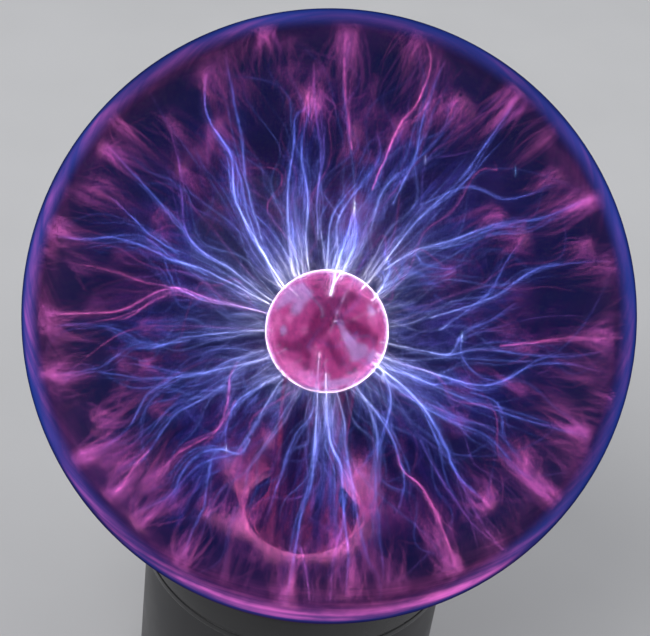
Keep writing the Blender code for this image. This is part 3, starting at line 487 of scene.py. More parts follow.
# Where streamers spread on the glass: half, place, size across and along,
# lean in degrees, brightness.
SPOTS = [
    (-1, 314, 92, 11, 20, 0, 1.5), (-1, 298, 82, 16, 9, 20, 0.5), (-1, 462, 100, 18, 14, 40, 1.0), (1, 262, 27, 14, 6, 0, 0.9),
    (1, 346, 32, 9, 14, 0, 0.8), (-1, 354, 135, 9, 26, -10, 0.8), (1, 400, 128, 8, 12, 30, 0.7), (1, 520, 92, 12, 10, 40, 1.0),
    (-1, 555, 128, 8, 14, 20, 0.5), (-1, 560, 175, 14, 12, 0, 0.4), (1, 595, 197, 8, 16, 60, 0.9), (-1, 500, 210, 11, 6, -20, 0.9),
    (-1, 590, 245, 14, 8, 0, 0.8), (-1, 524, 240, 10, 13, 20, 0.9), (1, 96, 423, 15, 13, 30, 1.3), (-1, 118, 403, 16, 10, 30, 0.5),
    (-1, 155, 409, 10, 8, 0, 0.6), (1, 35, 376, 8, 16, 10, 0.9), (-1, 70, 463, 9, 12, 30, 0.9), (1, 146, 488, 9, 7, -20, 0.8),
    (-1, 106, 470, 8, 8, 30, 0.7), (1, 107, 498, 8, 8, 40, 0.8), (1, 137, 527, 11, 9, 30, 1.0), (-1, 48, 225, 9, 18, 10, 1.0),
    (-1, 92, 182, 18, 10, 20, 0.6), (1, 99, 148, 9, 15, 20, 0.7), (-1, 112, 116, 8, 6, 30, 0.6), (1, 210, 124, 11, 14, -40, 0.8),
    (-1, 206, 72, 13, 8, -30, 0.6), (-1, 160, 219, 10, 14, 40, 0.8), (1, 279, 209, 5, 6, 0, 0.4), (1, 490, 506, 10, 11, 30, 1.5),
    (-1, 534, 470, 13, 12, 40, 0.9), (1, 588, 438, 10, 10, 30, 0.9), (1, 556, 502, 11, 9, 40, 1.0), (-1, 527, 392, 10, 5, 0, 0.5),
    (-1, 536, 348, 13, 6, 0, 0.6), (-1, 401, 448, 6, 10, 0, 0.6), (-1, 463, 421, 7, 9, 20, 0.6), (1, 438, 545, 15, 11, 20, 0.8),
    (-1, 364, 478, 9, 18, 15, 1.1), (-1, 370, 515, 9, 20, -5, 1.1), (-1, 345, 548, 15, 8, 10, 0.8), (-1, 269, 440, 9, 11, 20, 1.0),
    (-1, 232, 473, 9, 14, 10, 1.0), (-1, 206, 515, 17, 9, 10, 0.8), (-1, 240, 528, 17, 12, -30, 1.1), (1, 180, 568, 16, 8, 30, 0.9),
    (-1, 140, 328, 7, 10, 0, 0.5), (-1, 143, 364, 7, 6, 0, 0.6), (1, 180, 172, 8, 8, 30, 0.7), (-1, 242, 78, 7, 12, -40, 0.4),
    (-1, 380, 108, 12, 10, 0, 0.35), (1, 458, 573, 10, 10, 0, 0.9), (1, 345, 598, 18, 8, 0, 0.8), (1, 285, 606, 14, 8, 0, 0.8),
    (-1, 515, 330, 7, 6, 0, 0.6), (-1, 455, 268, 7, 5, 0, 0.8), (-1, 300, 565, 26, 7, 0, 0.8), (-1, 430, 100, 9, 20, 10, 0.7),
    (-1, 612, 340, 8, 10, 0, 0.8), (-1, 614, 400, 8, 14, 10, 0.6), (-1, 40, 320, 8, 10, 0, 0.9), (1, 66, 190, 8, 14, 20, 0.5),
]


def course(points, side, count):
    """A streamer's course in space: its depth grows from the electrode's to
    the glass's as it goes outwards. One that starts just off the electrode
    is led back to it."""
    x, y = points[0][0] - ELECTRODE_AT[0], points[0][1] - ELECTRODE_AT[1]
    reach = math.hypot(x, y)
    if 60 < reach < 84:
        root = 57.0 if side > 0 else 61.0
        points = ((ELECTRODE_AT[0] + x / reach * root, ELECTRODE_AT[1] + y / reach * root),) + tuple(points)
    flat = curve_through([Vector((x, y, 0.0)) for x, y in points], count)
    end = on_glass(points[-1][0], points[-1][1], side)
    depth_end = (end - CENTRE).dot(BACK)
    bulb_depth = (BULB - CENTRE).dot(BACK)
    first = in_view(points[0][0], points[0][1], bulb_depth)
    off = (first - BULB) - BACK * (first - BULB).dot(BACK)
    if off.length < BULB_R:
        depth_start = bulb_depth + side * math.sqrt(BULB_R ** 2 - off.length ** 2)
    else:
        share = min(1.0, (off.length - BULB_R) / (INNER_R - BULB_R))
        depth_start = bulb_depth + (depth_end - bulb_depth) * share
    found = []
    for k, p in enumerate(flat):
        t = k / (count - 1)
        depth = depth_start + (depth_end - depth_start) * t ** 1.15
        q = in_view(p.x, p.y, depth)
        away = q - CENTRE
        if away.length > GLOW_R:
            q = CENTRE + away.normalized() * GLOW_R
        from_bulb = q - BULB
        if from_bulb.length < BULB_R + 0.0001:
            q = BULB + from_bulb.normalized() * (BULB_R + 0.0001)
        found.append(q)
    return found


class Glow:
    """Gathers ribbons and sheets of light in one mesh: uv.x runs across, uv.y
    along, and the colour attribute holds each point's light."""

    def __init__(self):
        self.verts, self.faces, self.uvs, self.colours = [], [], [], []

    def grid(self, rows, colours, shift):
        """rows is a list of rows of points; colours has one for each row."""
        start, wide = len(self.verts), len(rows[0])
        for k, row in enumerate(rows):
            for j, p in enumerate(row):
                self.verts.append(tuple(p))
                self.uvs.append((j / (wide - 1), shift + k / (len(rows) - 1)))
                self.colours.append((*colours[k], 1.0))
        for k in range(len(rows) - 1):
            for j in range(wide - 1):
                a = start + k * wide + j
                self.faces.append((a, a + 1, a + wide + 1, a + wide))

    def ribbon(self, path, widths, colours, shift, cards=3, twist=0.0):
        tangent = (path[1] - path[0]).normalized()
        helper = Vector((0.3, 0.9, 0.2)) if abs(tangent.y) < 0.8 else Vector((1, 0, 0))
        across = tangent.cross(helper).normalized()
        frames = []
        for k, p in enumerate(path):
            ahead = path[min(k + 1, len(path) - 1)] - path[max(k - 1, 0)]
            if ahead.length > 1e-9:
                tangent = ahead.normalized()
            across = (across - tangent * across.dot(tangent)).normalized()
            frames.append((p, across.copy(), tangent.cross(across)))
        for card in range(cards):
            rows = []
            for k, (p, a, b) in enumerate(frames):
                angle = math.pi * card / cards + twist * k / len(frames)
                d = a * math.cos(angle) + b * math.sin(angle)
                w = widths[k] / 2
                rows.append([p - d * w, p + d * w])
            self.grid(rows, colours, shift)

    def build(self, name, material):
        # nothing reaches into the glass
        points, centre = np.array([tuple(v) for v in self.verts]), np.array(CENTRE)
        away = np.linalg.norm(points - centre, axis=1)[:, None]
        points = centre + (points - centre) * np.minimum(1.0, (GLOW_R + 0.0002) / np.maximum(away, 1e-9))
        mesh = bpy.data.meshes.new(name)
        mesh.from_pydata(points.tolist(), [], self.faces)
        layer = mesh.uv_layers.new(name="across_along")
        index = np.empty(len(mesh.loops), dtype=np.int32)
        mesh.loops.foreach_get("vertex_index", index)
        uv = np.array(self.uvs, dtype=np.float32)[index]
        layer.data.foreach_set("uv", uv.ravel())
        attribute = mesh.color_attributes.new("light", "FLOAT_COLOR", "POINT")
        attribute.data.foreach_set("color", np.array(self.colours, dtype=np.float32).ravel())
        mesh.update()
        obj = link(name, mesh, "base", [material], smooth=False)
        obj.visible_diffuse = False
        obj.visible_shadow = False
        obj.visible_glossy = False
        return obj


K_THREAD, K_VEIL, K_CROWN, K_SHELL, K_TUFT = 0.72, 0.96, 0.22, 0.17, 0.43


def uv_parts(n):
    parts = n.tree.nodes.new("ShaderNodeSeparateXYZ")
    n.tree.links.new(n("UVMap", uv_map="across_along"), parts.inputs[0])
    return parts.outputs[0], parts.outputs[1]


def streamer_material():
    """A thread of light with a soft edge and a faint uneven halo."""
    n = Nodes("streamer_light")
    u, v = uv_parts(n)
    x = n.math("SUBTRACT", n.math("MULTIPLY", u, 2.0), 1.0)
    sway = n.math("MULTIPLY", n.math("SUBTRACT", n.noise(n("CombineXYZ", {0: n.math("MULTIPLY", v, 6.0), 1: 4.0, 2: 0.0}), 1.0, 2.0), 0.5), 0.5)
    x = n.math("ADD", x, sway)
    x2 = n.math("MULTIPLY", x, x)
    core = n.math("EXPONENT", n.math("MULTIPLY", x2, -150.0))
    halo = n.math("POWER", n.math("SUBTRACT", 1.0, n.math("MULTIPLY", x2, 1.6), clamp=True), 3.0)
    where = n("CombineXYZ", {0: n.math("MULTIPLY", u, 9.0), 1: n.math("MULTIPLY", v, 3.0), 2: 0.0})
    wisps = n.math("POWER", n.spread(n.noise(where, 1.0, 3.0, 0.6), 0.30, 0.75), 1.5)
    along = n.spread(n.noise(n("CombineXYZ", {0: 0.0, 1: n.math("MULTIPLY", v, 9.0), 2: 3.0}), 1.0, 2.0), 0.28, 0.72, 0.30, 1.30)
    profile = n.math("ADD", n.math("MULTIPLY", core, n.math("MULTIPLY", along, 0.62)), n.math("MULTIPLY", halo, n.math("MULTIPLY", wisps, 0.13)))
    light = n("Attribute", out="Color", attribute_name="light")
    return additive(n, light, n.math("MULTIPLY", profile, LIGHT))


def veil_material():
    """Silk-like sheets: bright along the side at u = 0, fading across, with
    fine threads running outwards."""
    n = Nodes("veil_light")
    u, v = uv_parts(n)
    edge = n.math("MULTIPLY", n.spread(u, 0.0, 0.10), n.math("POWER", n.math("SUBTRACT", 1.0, u, clamp=True), 1.1))
    bend = n.math("MULTIPLY", n.noise(n("CombineXYZ", {0: n.math("MULTIPLY", u, 1.3), 1: n.math("MULTIPLY", v, 3.0), 2: 7.0}), 1.4, 2.0), 0.40)
    lane = n.math("ADD", u, bend)
    fine = n.noise(n("CombineXYZ", {0: n.math("MULTIPLY", lane, 20.0), 1: n.math("MULTIPLY", v, 2.6), 2: 0.0}), 1.0, 3.0, 0.55)
    broad = n.noise(n("CombineXYZ", {0: n.math("MULTIPLY", lane, 4.5), 1: n.math("MULTIPLY", v, 4.0), 2: 2.0}), 1.0, 2.0, 0.5)
    threads = n.math("POWER", n.spread(fine, 0.42, 0.74), 2.2)
    sheet = n.math("POWER", n.spread(broad, 0.36, 0.74), 1.5)
    pattern = n.math("ADD", n.math("MULTIPLY", threads, 0.36), n.math("MULTIPLY", sheet, 0.62))
    light = n("Attribute", out="Color", attribute_name="light")
    return additive(n, light, n.math("MULTIPLY", n.math("MULTIPLY", edge, pattern), LIGHT))


def ray_paths():
    """Every streamer: the listed ones, then finer seeded ones all round.
    Gives (points, colours, strength, whether it is listed)."""
    found = []
    for side, power, stops, points in STREAMERS:
        length = sum(math.dist(a, b) for a, b in zip(points, points[1:]))
        found.append((course(points, side, max(16, int(length / 5.5))), stops, power, True))
    rng = np.random.default_rng(11)
    total = 150
    for number in range(total):
        z = 1 - 2 * (number + 0.5) / total
        a = number * 2.399963 + rng.uniform(-0.3, 0.3)
        r = math.sqrt(1 - z * z)
        d = Vector((r * math.cos(a), r * math.sin(a), z))
        root = (d + Vector(rng.normal(0, 0.22, 3))).normalized()
        bend = Vector(rng.normal(0, 0.16, 3)) + Vector((0, 0, 0.10))
        sway = Vector(rng.normal(0, 0.10, 3))
        curl = Vector(rng.normal(0, 0.035, 3))
        power = rng.uniform(0.25, 0.95)
        reach = rng.uniform(0.72, 1.0) if number % 3 else 1.0
        if d.z < -0.88:
            continue
        path = []
        count = 30
        for k in range(count):
            t = k / (count - 1) * reach
            e = (root.lerp(d, t ** 0.8) + bend * math.sin(math.pi * t) * 0.7
                 + sway * math.sin(2.3 * math.pi * t) * t + curl * math.sin(6.1 * math.pi * t + number)).normalized()
            path.append(BULB.lerp(CENTRE, t) + e * (BULB_R + 0.0001 + (GLOW_R - BULB_R) * t))
        found.append((path, (BLUE, VIOLET, BLUE, BLUE, PINK, BLUE)[number % 6], power, False))
    return found


def deeper(colour, t):
    """Faint sheets lose their paleness further out."""
    t = min(1.0, 2.2 * t)
    return tuple(v * w for v, w in zip(colour, mix3((1.0, 1.0, 1.0), (0.72, 0.50, 0.98), t)))


def depth_share(p):
    return min(1.0, max(0.0, ((p - CENTRE).length / GLOW_R - 0.2) / 0.8))


def make_streamers(rays):
    rng = np.random.default_rng(3)
    glow = Glow()
    for number, (path, stops, power, listed) in enumerate(rays):
        count = len(path)
        colours, widths = [], []
        for k, p in enumerate(path):
            s = k / (count - 1)
            fade = (0.40 + 0.60 * (1 - s) ** 0.8) * power
            if s > 0.88:
                fade *= 1.0 - 0.75 * (s - 0.88) / 0.12
            colours.append(tuple(v * fade * K_THREAD * (1.0 if listed else 0.55) for v in tone(stops, depth_share(p))))
            widths.append(0.0042 + (0.0050 if listed else 0.0036) * math.sin(math.pi * min(1.0, 0.12 + 0.8 * s)) + 0.0022 * s)
        glow.ribbon(path, widths, colours, number * 1.37 % 50, twist=rng.uniform(-1, 1))
        # finer threads that part from it on the way out
        for fine in range(int(rng.integers(2, 5)) if listed else 1):
            drift = Vector(rng.normal(0, 1, 3))
            sway = Vector(rng.normal(0, 1, 3))
            spread, phase = rng.uniform(0.0015, 0.0075), rng.uniform(0, 6.28)
            first, last = int(count * rng.uniform(0.0, 0.35)), int(count * rng.uniform(0.65, 1.0))
            share = rng.uniform(0.30, 0.75)
            own, shades, wide = [], [], []
            for k in range(first, last):
                s = (k - first) / max(1, last - first - 1)
                q = path[k] + (drift.normalized() * s + sway * 0.25 * math.sin(5 * s + phase) * s) * spread
                away = q - CENTRE
                if away.length > GLOW_R - 0.0004:
                    q = CENTRE + away.normalized() * (GLOW_R - 0.0004)
                own.append(q)
                shades.append(tuple(v * share * min(1.0, (1 - s) * 4) * min(1.0, s * 5 + 0.3) for v in colours[k]))
                wide.append(widths[k] * 0.72)
            if len(own) > 5:
                glow.ribbon(own, wide, shades, (number * 1.37 + 5.1 * fine + 2) % 50, cards=2, twist=rng.uniform(-1, 1))
    # bright knots: where a pair of streamers meets, and a few in the gas
    for x, y, side, depth, size, light in KNOTS:
        p = in_view(x, y, depth)
        for across, up in ((RIGHT, UP), (RIGHT, BACK), (UP, BACK)):
            rows = [[p + across * (size * (j / 2 - 1)) + up * (size * (i / 2 - 1)) for j in range(5)] for i in range(5)]
            glow.grid(rows, [tuple(v * 1.3 * (0.0, 0.6, 1.0, 0.6, 0.0)[i] for v in light) for i in range(5)], 0.4)
    return glow.build("plasma_streamers", no_sampling(streamer_material()))


def make_veils(rays):
    rng = np.random.default_rng(5)
    glow = Glow()
    for number, (side, power, stops, left, right) in enumerate(VEILS):
        count = 34
        a, b = course(left, side, count), course(right, side, count)
        for turned in (False, True):
            rows, colours = [], []
            for k in range(count):
                p, q = (b[k], a[k]) if turned else (a[k], b[k])
                rows.append([p.lerp(q, j / 10) for j in range(11)])
                t = k / (count - 1)
                fade = power * (1 - t) ** 0.7 * min(1.0, 0.35 + t * 4)
                share = depth_share((a[k] + b[k]) / 2)
                colours.append(tuple(v * fade * K_VEIL * 2.5 for v in deeper(tone(stops, share * 0.75), share * 0.5)))
            glow.grid(rows, colours, number * 1.91 % 40 + 7 * turned)
    # sheets hung along the streamers
    for number, (path, stops, power, listed) in enumerate(rays):
        sheets = 3 if listed else 2
        for sheet in range(sheets):
            count = len(path)
            stop = int(count * rng.uniform(0.62, 1.0))
            turn = rng.uniform(0, 2 * math.pi)
            width = rng.uniform(0.009, 0.030)
            strength = power ** 0.5 * rng.uniform(0.15, 0.85) * (0.72 if listed else 0.17) * K_VEIL
            late = rng.uniform(0.0, 0.12)
            rows, colours = [], []
            tangent = (path[1] - path[0]).normalized()
            out = (path[0] - BULB).normalized()
            across = tangent.cross(Vector((math.cos(turn), math.sin(turn), 0.3)))
            across = (across - tangent * across.dot(tangent)).normalized()
            for k in range(stop):
                s = k / (stop - 1)
                ahead = path[min(k + 1, count - 1)] - path[max(k - 1, 0)]
                if ahead.length > 1e-9:
                    tangent = ahead.normalized()
                across = (across - tangent * across.dot(tangent)).normalized()
                curl = tangent.cross(across)
                w = width * (0.14 + 0.86 * math.sin(math.pi * min(1.0, s * 0.62 + 0.02)) ** 1.2)
                row = []
                for j in range(9):
                    f = j / 8
                    q = path[k] + across * (w * f) + curl * (w * 0.35 * math.sin(2.6 * f + 3 * s + turn))
                    away = q - CENTRE
                    if away.length > GLOW_R - 0.0006:
                        q = CENTRE + away.normalized() * (GLOW_R - 0.0006)
                    row.append(q)
                rows.append(row)
                fade = strength * (1 - s) ** 0.75 * min(1.0, max(0.0, (s - late)) * 8 + 0.25)
                share = depth_share(path[k])
                fade *= 1.0 - 0.45 * share
                colours.append(tuple(v * fade for v in deeper(tone(stops, share * 0.9), share)))
            glow.grid(rows, colours, 60 + (number * 3 + sheet) * 0.613 % 90)
    # a crown of short brushes close round the electrode
    total = 230
    for number in range(total):
        z = 1 - 2 * (number + 0.5) / total
        a = number * 2.399963 + rng.uniform(-0.3, 0.3)
        r = math.sqrt(1 - z * z)
        d = Vector((r * math.cos(a), r * math.sin(a), z))
        side = d.cross(Vector(rng.normal(0, 1, 3))).normalized()
        lean = Vector(rng.normal(0, 0.22, 3))
        tall, wide = rng.uniform(0.010, 0.030), rng.uniform(0.10, 0.24)
        power = rng.uniform(0.3, 1.0)
        if d.z < -0.80:
            continue
        rows, colours = [], []
        for k in range(12):
            t = k / 11
            row = []
            for j in range(7):
                s = (j / 6 - 0.5) * 2
                e = (d + side * s * wide * (0.6 + 0.25 * t) + lean * t).normalized()
                row.append(BULB + e * (BULB_R + 0.0001 + tall * t))
            rows.append(row)
            fade = power * (1 - t) ** 1.6
            colours.append(tuple(v * fade * K_CROWN for v in tone(BLUE, 0.06 + 0.3 * t)))
        glow.grid(rows, colours, 160 + number * 0.37)
    return glow.build("plasma_veils", no_sampling(veil_material()))


def spots_on_glass(rays):
    """(direction, across, along, size across, size along, strength) of each
    patch of pink on the glass."""
    found = []
    for side, x, y, wide, tall, lean, power in SPOTS:
        out = (on_glass(x, y, side) - CENTRE).normalized()
        a = math.radians(lean)
        across = RIGHT * math.cos(a) + UP * math.sin(a)
        across = (across - out * across.dot(out)).normalized()
        tilt = max(0.35, abs(out.dot(BACK)))
        scale = (DISTANCE - GLOW_R * out.dot(BACK)) / FOCAL / GLOW_R
        found.append((out, across, out.cross(across), wide * scale * 1.1, tall * scale * 1.1 / tilt ** 0.5, power))
    rng = np.random.default_rng(29)
    for path, stops, power, listed in rays:
        end = path[-1] - CENTRE
        across = end.cross(Vector(rng.normal(0, 1, 3))).normalized()
        wide, tall, strong = rng.uniform(0.03, 0.07), rng.uniform(0.05, 0.13), rng.uniform(0.4, 0.9)
        if end.length < GLOW_R * 0.93 or (power < 0.55 and not listed):
            continue
        out = end.normalized()
        found.append((out, across, out.cross(across), wide, tall, strong * (0.55 if listed else 0.75) * min(1.0, power)))
    return found


def field(directions, spots):
    total = np.zeros(len(directions))
    for out, across, along, wide, tall, power in spots:
        q = directions - np.array(out)
        s = q @ np.array(across) / wide
        t = q @ np.array(along) / tall
        near = (directions @ np.array(out)) > 0.5
        total += np.where(near, power * np.exp(-(s * s + t * t)), 0.0)
        total += np.where(near, 0.05 * power * np.exp(-(s * s + t * t) / 4.0), 0.0)
    return total


def make_inner_glow(spots):
    """A film of light on the inside of the glass, open at the neck."""
    rings, sides = 160, 288
    last = math.pi - math.asin(0.0203 / GLOW_R)
    d = np.array([(math.sin(last * i / rings) * math.cos(2 * math.pi * k / sides),
                   math.sin(last * i / rings) * math.sin(2 * math.pi * k / sides), math.cos(last * i / rings))
                  for i in range(rings + 1) for k in range(sides)])
    faces = [(i * sides + k, (i + 1) * sides + k, (i + 1) * sides + (k + 1) % sides, i * sides + (k + 1) % sides)
             for i in range(rings) for k in range(sides)]
    mesh = bpy.data.meshes.new("inner_glow")
    mesh.from_pydata((d * GLOW_R + np.array(CENTRE)).tolist(), [], faces)
    pink = field(d, spots)
    neck = np.degrees(np.arccos(np.clip(-d[:, 2], -1, 1)))
    ring = 4.4 * np.exp(-((neck - 12.6) / 2.1) ** 2) + 1.0 * np.exp(-((neck - 15.0) / 5.5) ** 2)
    around = np.arctan2(d[:, 1], d[:, 0])
    ring *= 0.62 + 0.22 * np.sin(3 * around + 0.7) + 0.16 * np.sin(7 * around + 2.0)
    colours = np.ones((len(d), 4))
    colours[:, 0] = pink + ring
    colours[:, 1] = np.clip(0.35 - d[:, 2], 0, 1.2)
    colours[:, 2] = 0.0
    attribute = mesh.color_attributes.new("spread", "FLOAT_COLOR", "POINT")
    attribute.data.foreach_set("color", colours.astype(np.float32).ravel())
    mesh.update()

    n = Nodes("inner_glow_light")
    parts = n.tree.nodes.new("ShaderNodeSeparateColor")
    n.tree.links.new(n("Attribute", out="Color", attribute_name="spread"), parts.inputs[0])
    spots, low = parts.outputs[0], parts.outputs[1]
    place = n.place()
    swirl = n("VectorMath", {0: n.noise(place, 24.0, 2.0, 0.5, out=1), "Scale": 0.014}, operation="SCALE")
    swirled = n("VectorMath", {0: place, 1: swirl}, operation="ADD")
    ragged = n.noise(swirled, 62.0, 2.0, 0.5)
    spots = n.math("MULTIPLY", n.math("MAXIMUM", n.math("SUBTRACT", spots, 0.10), 0.0), n.spread(ragged, 0.30, 0.70, 0.15, 1.75))
    cells = n("TexVoronoi", {"Vector": swirled, "Scale": 30.0}, out="Distance", feature="DISTANCE_TO_EDGE")
    web = n.math("MULTIPLY", n.math("POWER", n.spread(cells, 0.0, 0.26, 1.0, 0.0), 1.6), n.spread(n.noise(place, 21.0, 2.0), 0.44, 0.66))
    haze = n.math("POWER", n.spread(n.noise(swirled, 24.0, 3.0, 0.55), 0.50, 0.80), 1.3)
    violet = n.math("ADD", n.math("MULTIPLY", web, n.math("ADD", 0.05, n.math("MULTIPLY", low, 0.10))),
                    n.math("MULTIPLY", haze, n.math("ADD", 0.10, n.math("MULTIPLY", low, 0.36))))
    pinks = n.mix(n.spread(spots, 0.15, 1.4), (0.46, 0.075, 0.42), (0.86, 0.20, 0.52))
    light = n.mix(1.0, n("VectorMath", {0: (0.34 * K_SHELL, 0.055 * K_SHELL, 0.34 * K_SHELL), "Scale": violet}, operation="SCALE"),
                  n("VectorMath", {0: pinks, "Scale": n.math("MULTIPLY", spots, 0.50 * K_SHELL)}, operation="SCALE"), kind="ADD")
    light = n.mix(1.0, light, (0.0004, 0.0005, 0.003), kind="ADD")
    material = additive(n, light, LIGHT)
    obj = link("inner_glow", mesh, "base", [material], smooth=True)
    obj.visible_diffuse = obj.visible_shadow = obj.visible_glossy = False
    return obj


def make_tufts(spots):
    """Short soft brushes of light standing on the inside of the glass. Seen
    from the side at the globe's edge they join into a band."""
    rng = np.random.default_rng(23)
    glow = Glow()

    def brush(e, tall, wide, power, colour):
        tangent = e.cross(Vector(rng.normal(0, 1, 3))).normalized()
        rows = []
        for j in range(5):
            q = (e + tangent * ((j / 4 - 0.5) * wide / GLOW_R)).normalized()
            rows.append([CENTRE + q * (GLOW_R + 0.0002 - tall * (1 - i / 3)) for i in range(4)])
        glow.grid(rows, [tuple(v * power for v in colour)] * 5, 0.0)

    def flame(foot, tip, wide, power, colour):
        """One soft tongue, from its tip in the gas to its foot on the glass."""
        line = foot - tip
        across = line.cross(Vector(rng.normal(0, 1, 3))).normalized()
        bow = line.cross(across).normalized() * rng.normal(0, 0.0012)
        rows = []
        for j in range(5):
            row = []
            for i in range(6):
                t = i / 5
                half = across * ((j / 4 - 0.5) * wide * (0.25 + 0.75 * t ** 1.3))
                row.append(tip + line * t + half + bow * math.sin(math.pi * t) * 3)
            rows.append(row)
        glow.grid(rows, [tuple(v * power for v in colour)] * 5, 0.0)

    total = 1500
    d = np.array([(math.sqrt(max(0.0, 1 - z * z)) * math.cos(a), math.sqrt(max(0.0, 1 - z * z)) * math.sin(a), z)
                  for z, a in ((1 - 2 * (k + 0.5) / total, k * 2.399963) for k in range(total))])
    d += rng.normal(0, 0.02, d.shape)
    d /= np.linalg.norm(d, axis=1)[:, None]
    bright = field(d, spots)
    for k in range(total):
        e = Vector(d[k])
        tall, wide, vary = rng.uniform(0.003, 0.008), rng.uniform(0.008, 0.018), rng.uniform(0.4, 1.4)
        if e.z < -0.95:
            continue
        zone = 0.03 + 0.50 * min(1.0, max(0.0, 0.08 - e.z)) ** 1.3
        power = (zone + 0.25 * min(1.2, bright[k])) * vary
        brush(e, tall, wide, power * 0.15 * K_TUFT, mix3((0.16, 0.07, 0.46), (0.62, 0.12, 0.46), min(1.0, zone * 1.6 + 0.5 * bright[k])))
    for out, across, along, wide, tall, power in spots:
        reach = rng.uniform(0.011, 0.030)
        end_on = abs(out.dot(BACK))
        heart = (out + across * rng.normal(0, 0.25) * wide + along * rng.normal(0, 0.25) * tall).normalized()
        tip = CENTRE + heart * (GLOW_R - reach)
        for _ in range(int(15 + 17 * min(1.3, power))):
            e = (out + across * rng.normal(0, 0.50) * wide + along * rng.normal(0, 0.50) * tall).normalized()
            foot = CENTRE + e * (GLOW_R + 0.0002)
            own = tip.lerp(foot, rng.uniform(-0.15, 0.30)) + Vector(rng.normal(0, 0.0018 + 0.0045 * end_on, 3))
            flame(foot, own, rng.uniform(0.0011, 0.0058), power * (1.0 - 0.90 * end_on ** 2) * rng.uniform(0.16, 0.62) * K_TUFT,
                  mix3((0.46, 0.085, 0.46), (0.80, 0.15, 0.48), rng.uniform(0, 1)))
    n = Nodes("tuft_light")
    u, v = uv_parts(n)
    x = n.math("SUBTRACT", n.math("MULTIPLY", v, 2.0), 1.0)
    side = n.math("POWER", n.math("SUBTRACT", 1.0, n.math("MULTIPLY", x, x), clamp=True), 2.0)
    height = n.math("MULTIPLY", n.math("POWER", u, 1.4), n.spread(u, 0.70, 1.0, 1.0, 0.25))
    light = n("Attribute", out="Color", attribute_name="light")
    material = additive(n, light, n.math("MULTIPLY", n.math("MULTIPLY", side, height), LIGHT))
    return glow.build("glass_tufts", material)


def make_neck_glow():
    """The pink sleeve of light that stands round the neck's mouth."""
    glow = Glow()
    rng = np.random.default_rng(41)
    profile = [(0.0203, 0.0907), (0.0216, 0.0930), (0.0232, 0.0965), (0.0246, 0.1010), (0.0256, 0.1060), (0.0262, 0.1120),
               (0.0264, 0.1180)]
    sides = 96
    for layer in range(2):
        rows, colours = [], []
        for k in range(sides + 1):
            a = 2 * math.pi * k / sides
            swell = 1 + 0.05 * math.sin(3 * a + layer) + 0.03 * math.sin(8 * a + 2 * layer) + 0.05 * layer
            rows.append([Vector((r * swell * math.cos(a), r * swell * math.sin(a), z)) for r, z in profile])
            face = 0.5 + 0.5 * math.cos(a + math.pi / 2)      # 1 towards -Y
            power = 0.32 + 0.22 * math.sin(2 * a + 1.1 + layer) + 0.16 * math.sin(5 * a + 0.4 + 2 * layer)
            colours.append(tuple(v * max(0.05, power) * (0.75 + 0.5 * face) for v in (0.34, 0.050, 0.15)))
        glow.grid(rows, colours, 3.0 * layer)
    n = Nodes("neck_light")
    u, v = uv_parts(n)
    fade = n.math("MULTIPLY", n.math("POWER", n.math("SUBTRACT", 1.0, u, clamp=True), 1.7), n.spread(u, 0.0, 0.06, 0.4, 1.0))
    streak = n.spread(n.noise(n("CombineXYZ", {0: n.math("MULTIPLY", u, 1.2), 1: n.math("MULTIPLY", v, 26.0), 2: 0.0}), 1.0, 3.0, 0.6),
                      0.3, 0.7, 0.35, 1.35)
    light = n("Attribute", out="Color", attribute_name="light")
    material = additive(n, light, n.math("MULTIPLY", n.math("MULTIPLY", fade, streak), LIGHT))
    return glow.build("neck_glow", material)


# -------------------------------------------------------------- the electrode


# Patches of the electrode's lining in the main view: x, y, size, kind.
VEINS = [(324, 312, 7), (319, 322, 7), (316, 332, 7), (330, 320, 6), (338, 318, 5), (350, 325, 6), (358, 330, 6), (365, 334, 6),
         (375, 339, 5), (307, 342, 6), (298, 346, 6), (288, 345, 5), (280, 343, 5), (273, 345, 5), (275, 356, 4), (330, 344, 5),
         (335, 354, 5), (341, 362, 5), (352, 370, 5), (308, 355, 4), (307, 365, 4), (317, 287, 4), (320, 280, 3), (333, 303, 6),
         (344, 303, 6), (352, 296, 6), (318, 300, 5)]
LILAC = [(297, 289, 9), (288, 297, 8), (280, 303, 7), (306, 296, 7), (297, 309, 6), (285, 285, 6), (341, 325, 3), (345, 333, 4),
         (350, 342, 5), (355, 351, 6), (362, 350, 6), (371, 356, 6), (330, 384, 9), (344, 382, 8), (371, 310, 5), (284, 330, 5)]
LOBES = [(290, 366, 10), (304, 376, 9), (372, 318, 8), (362, 292, 9), (340, 282, 9), (278, 320, 7), (272, 332, 7), (318, 352, 4),
         (352, 374, 8), (306, 330, 4), (290, 318, 5), (366, 372, 8)]


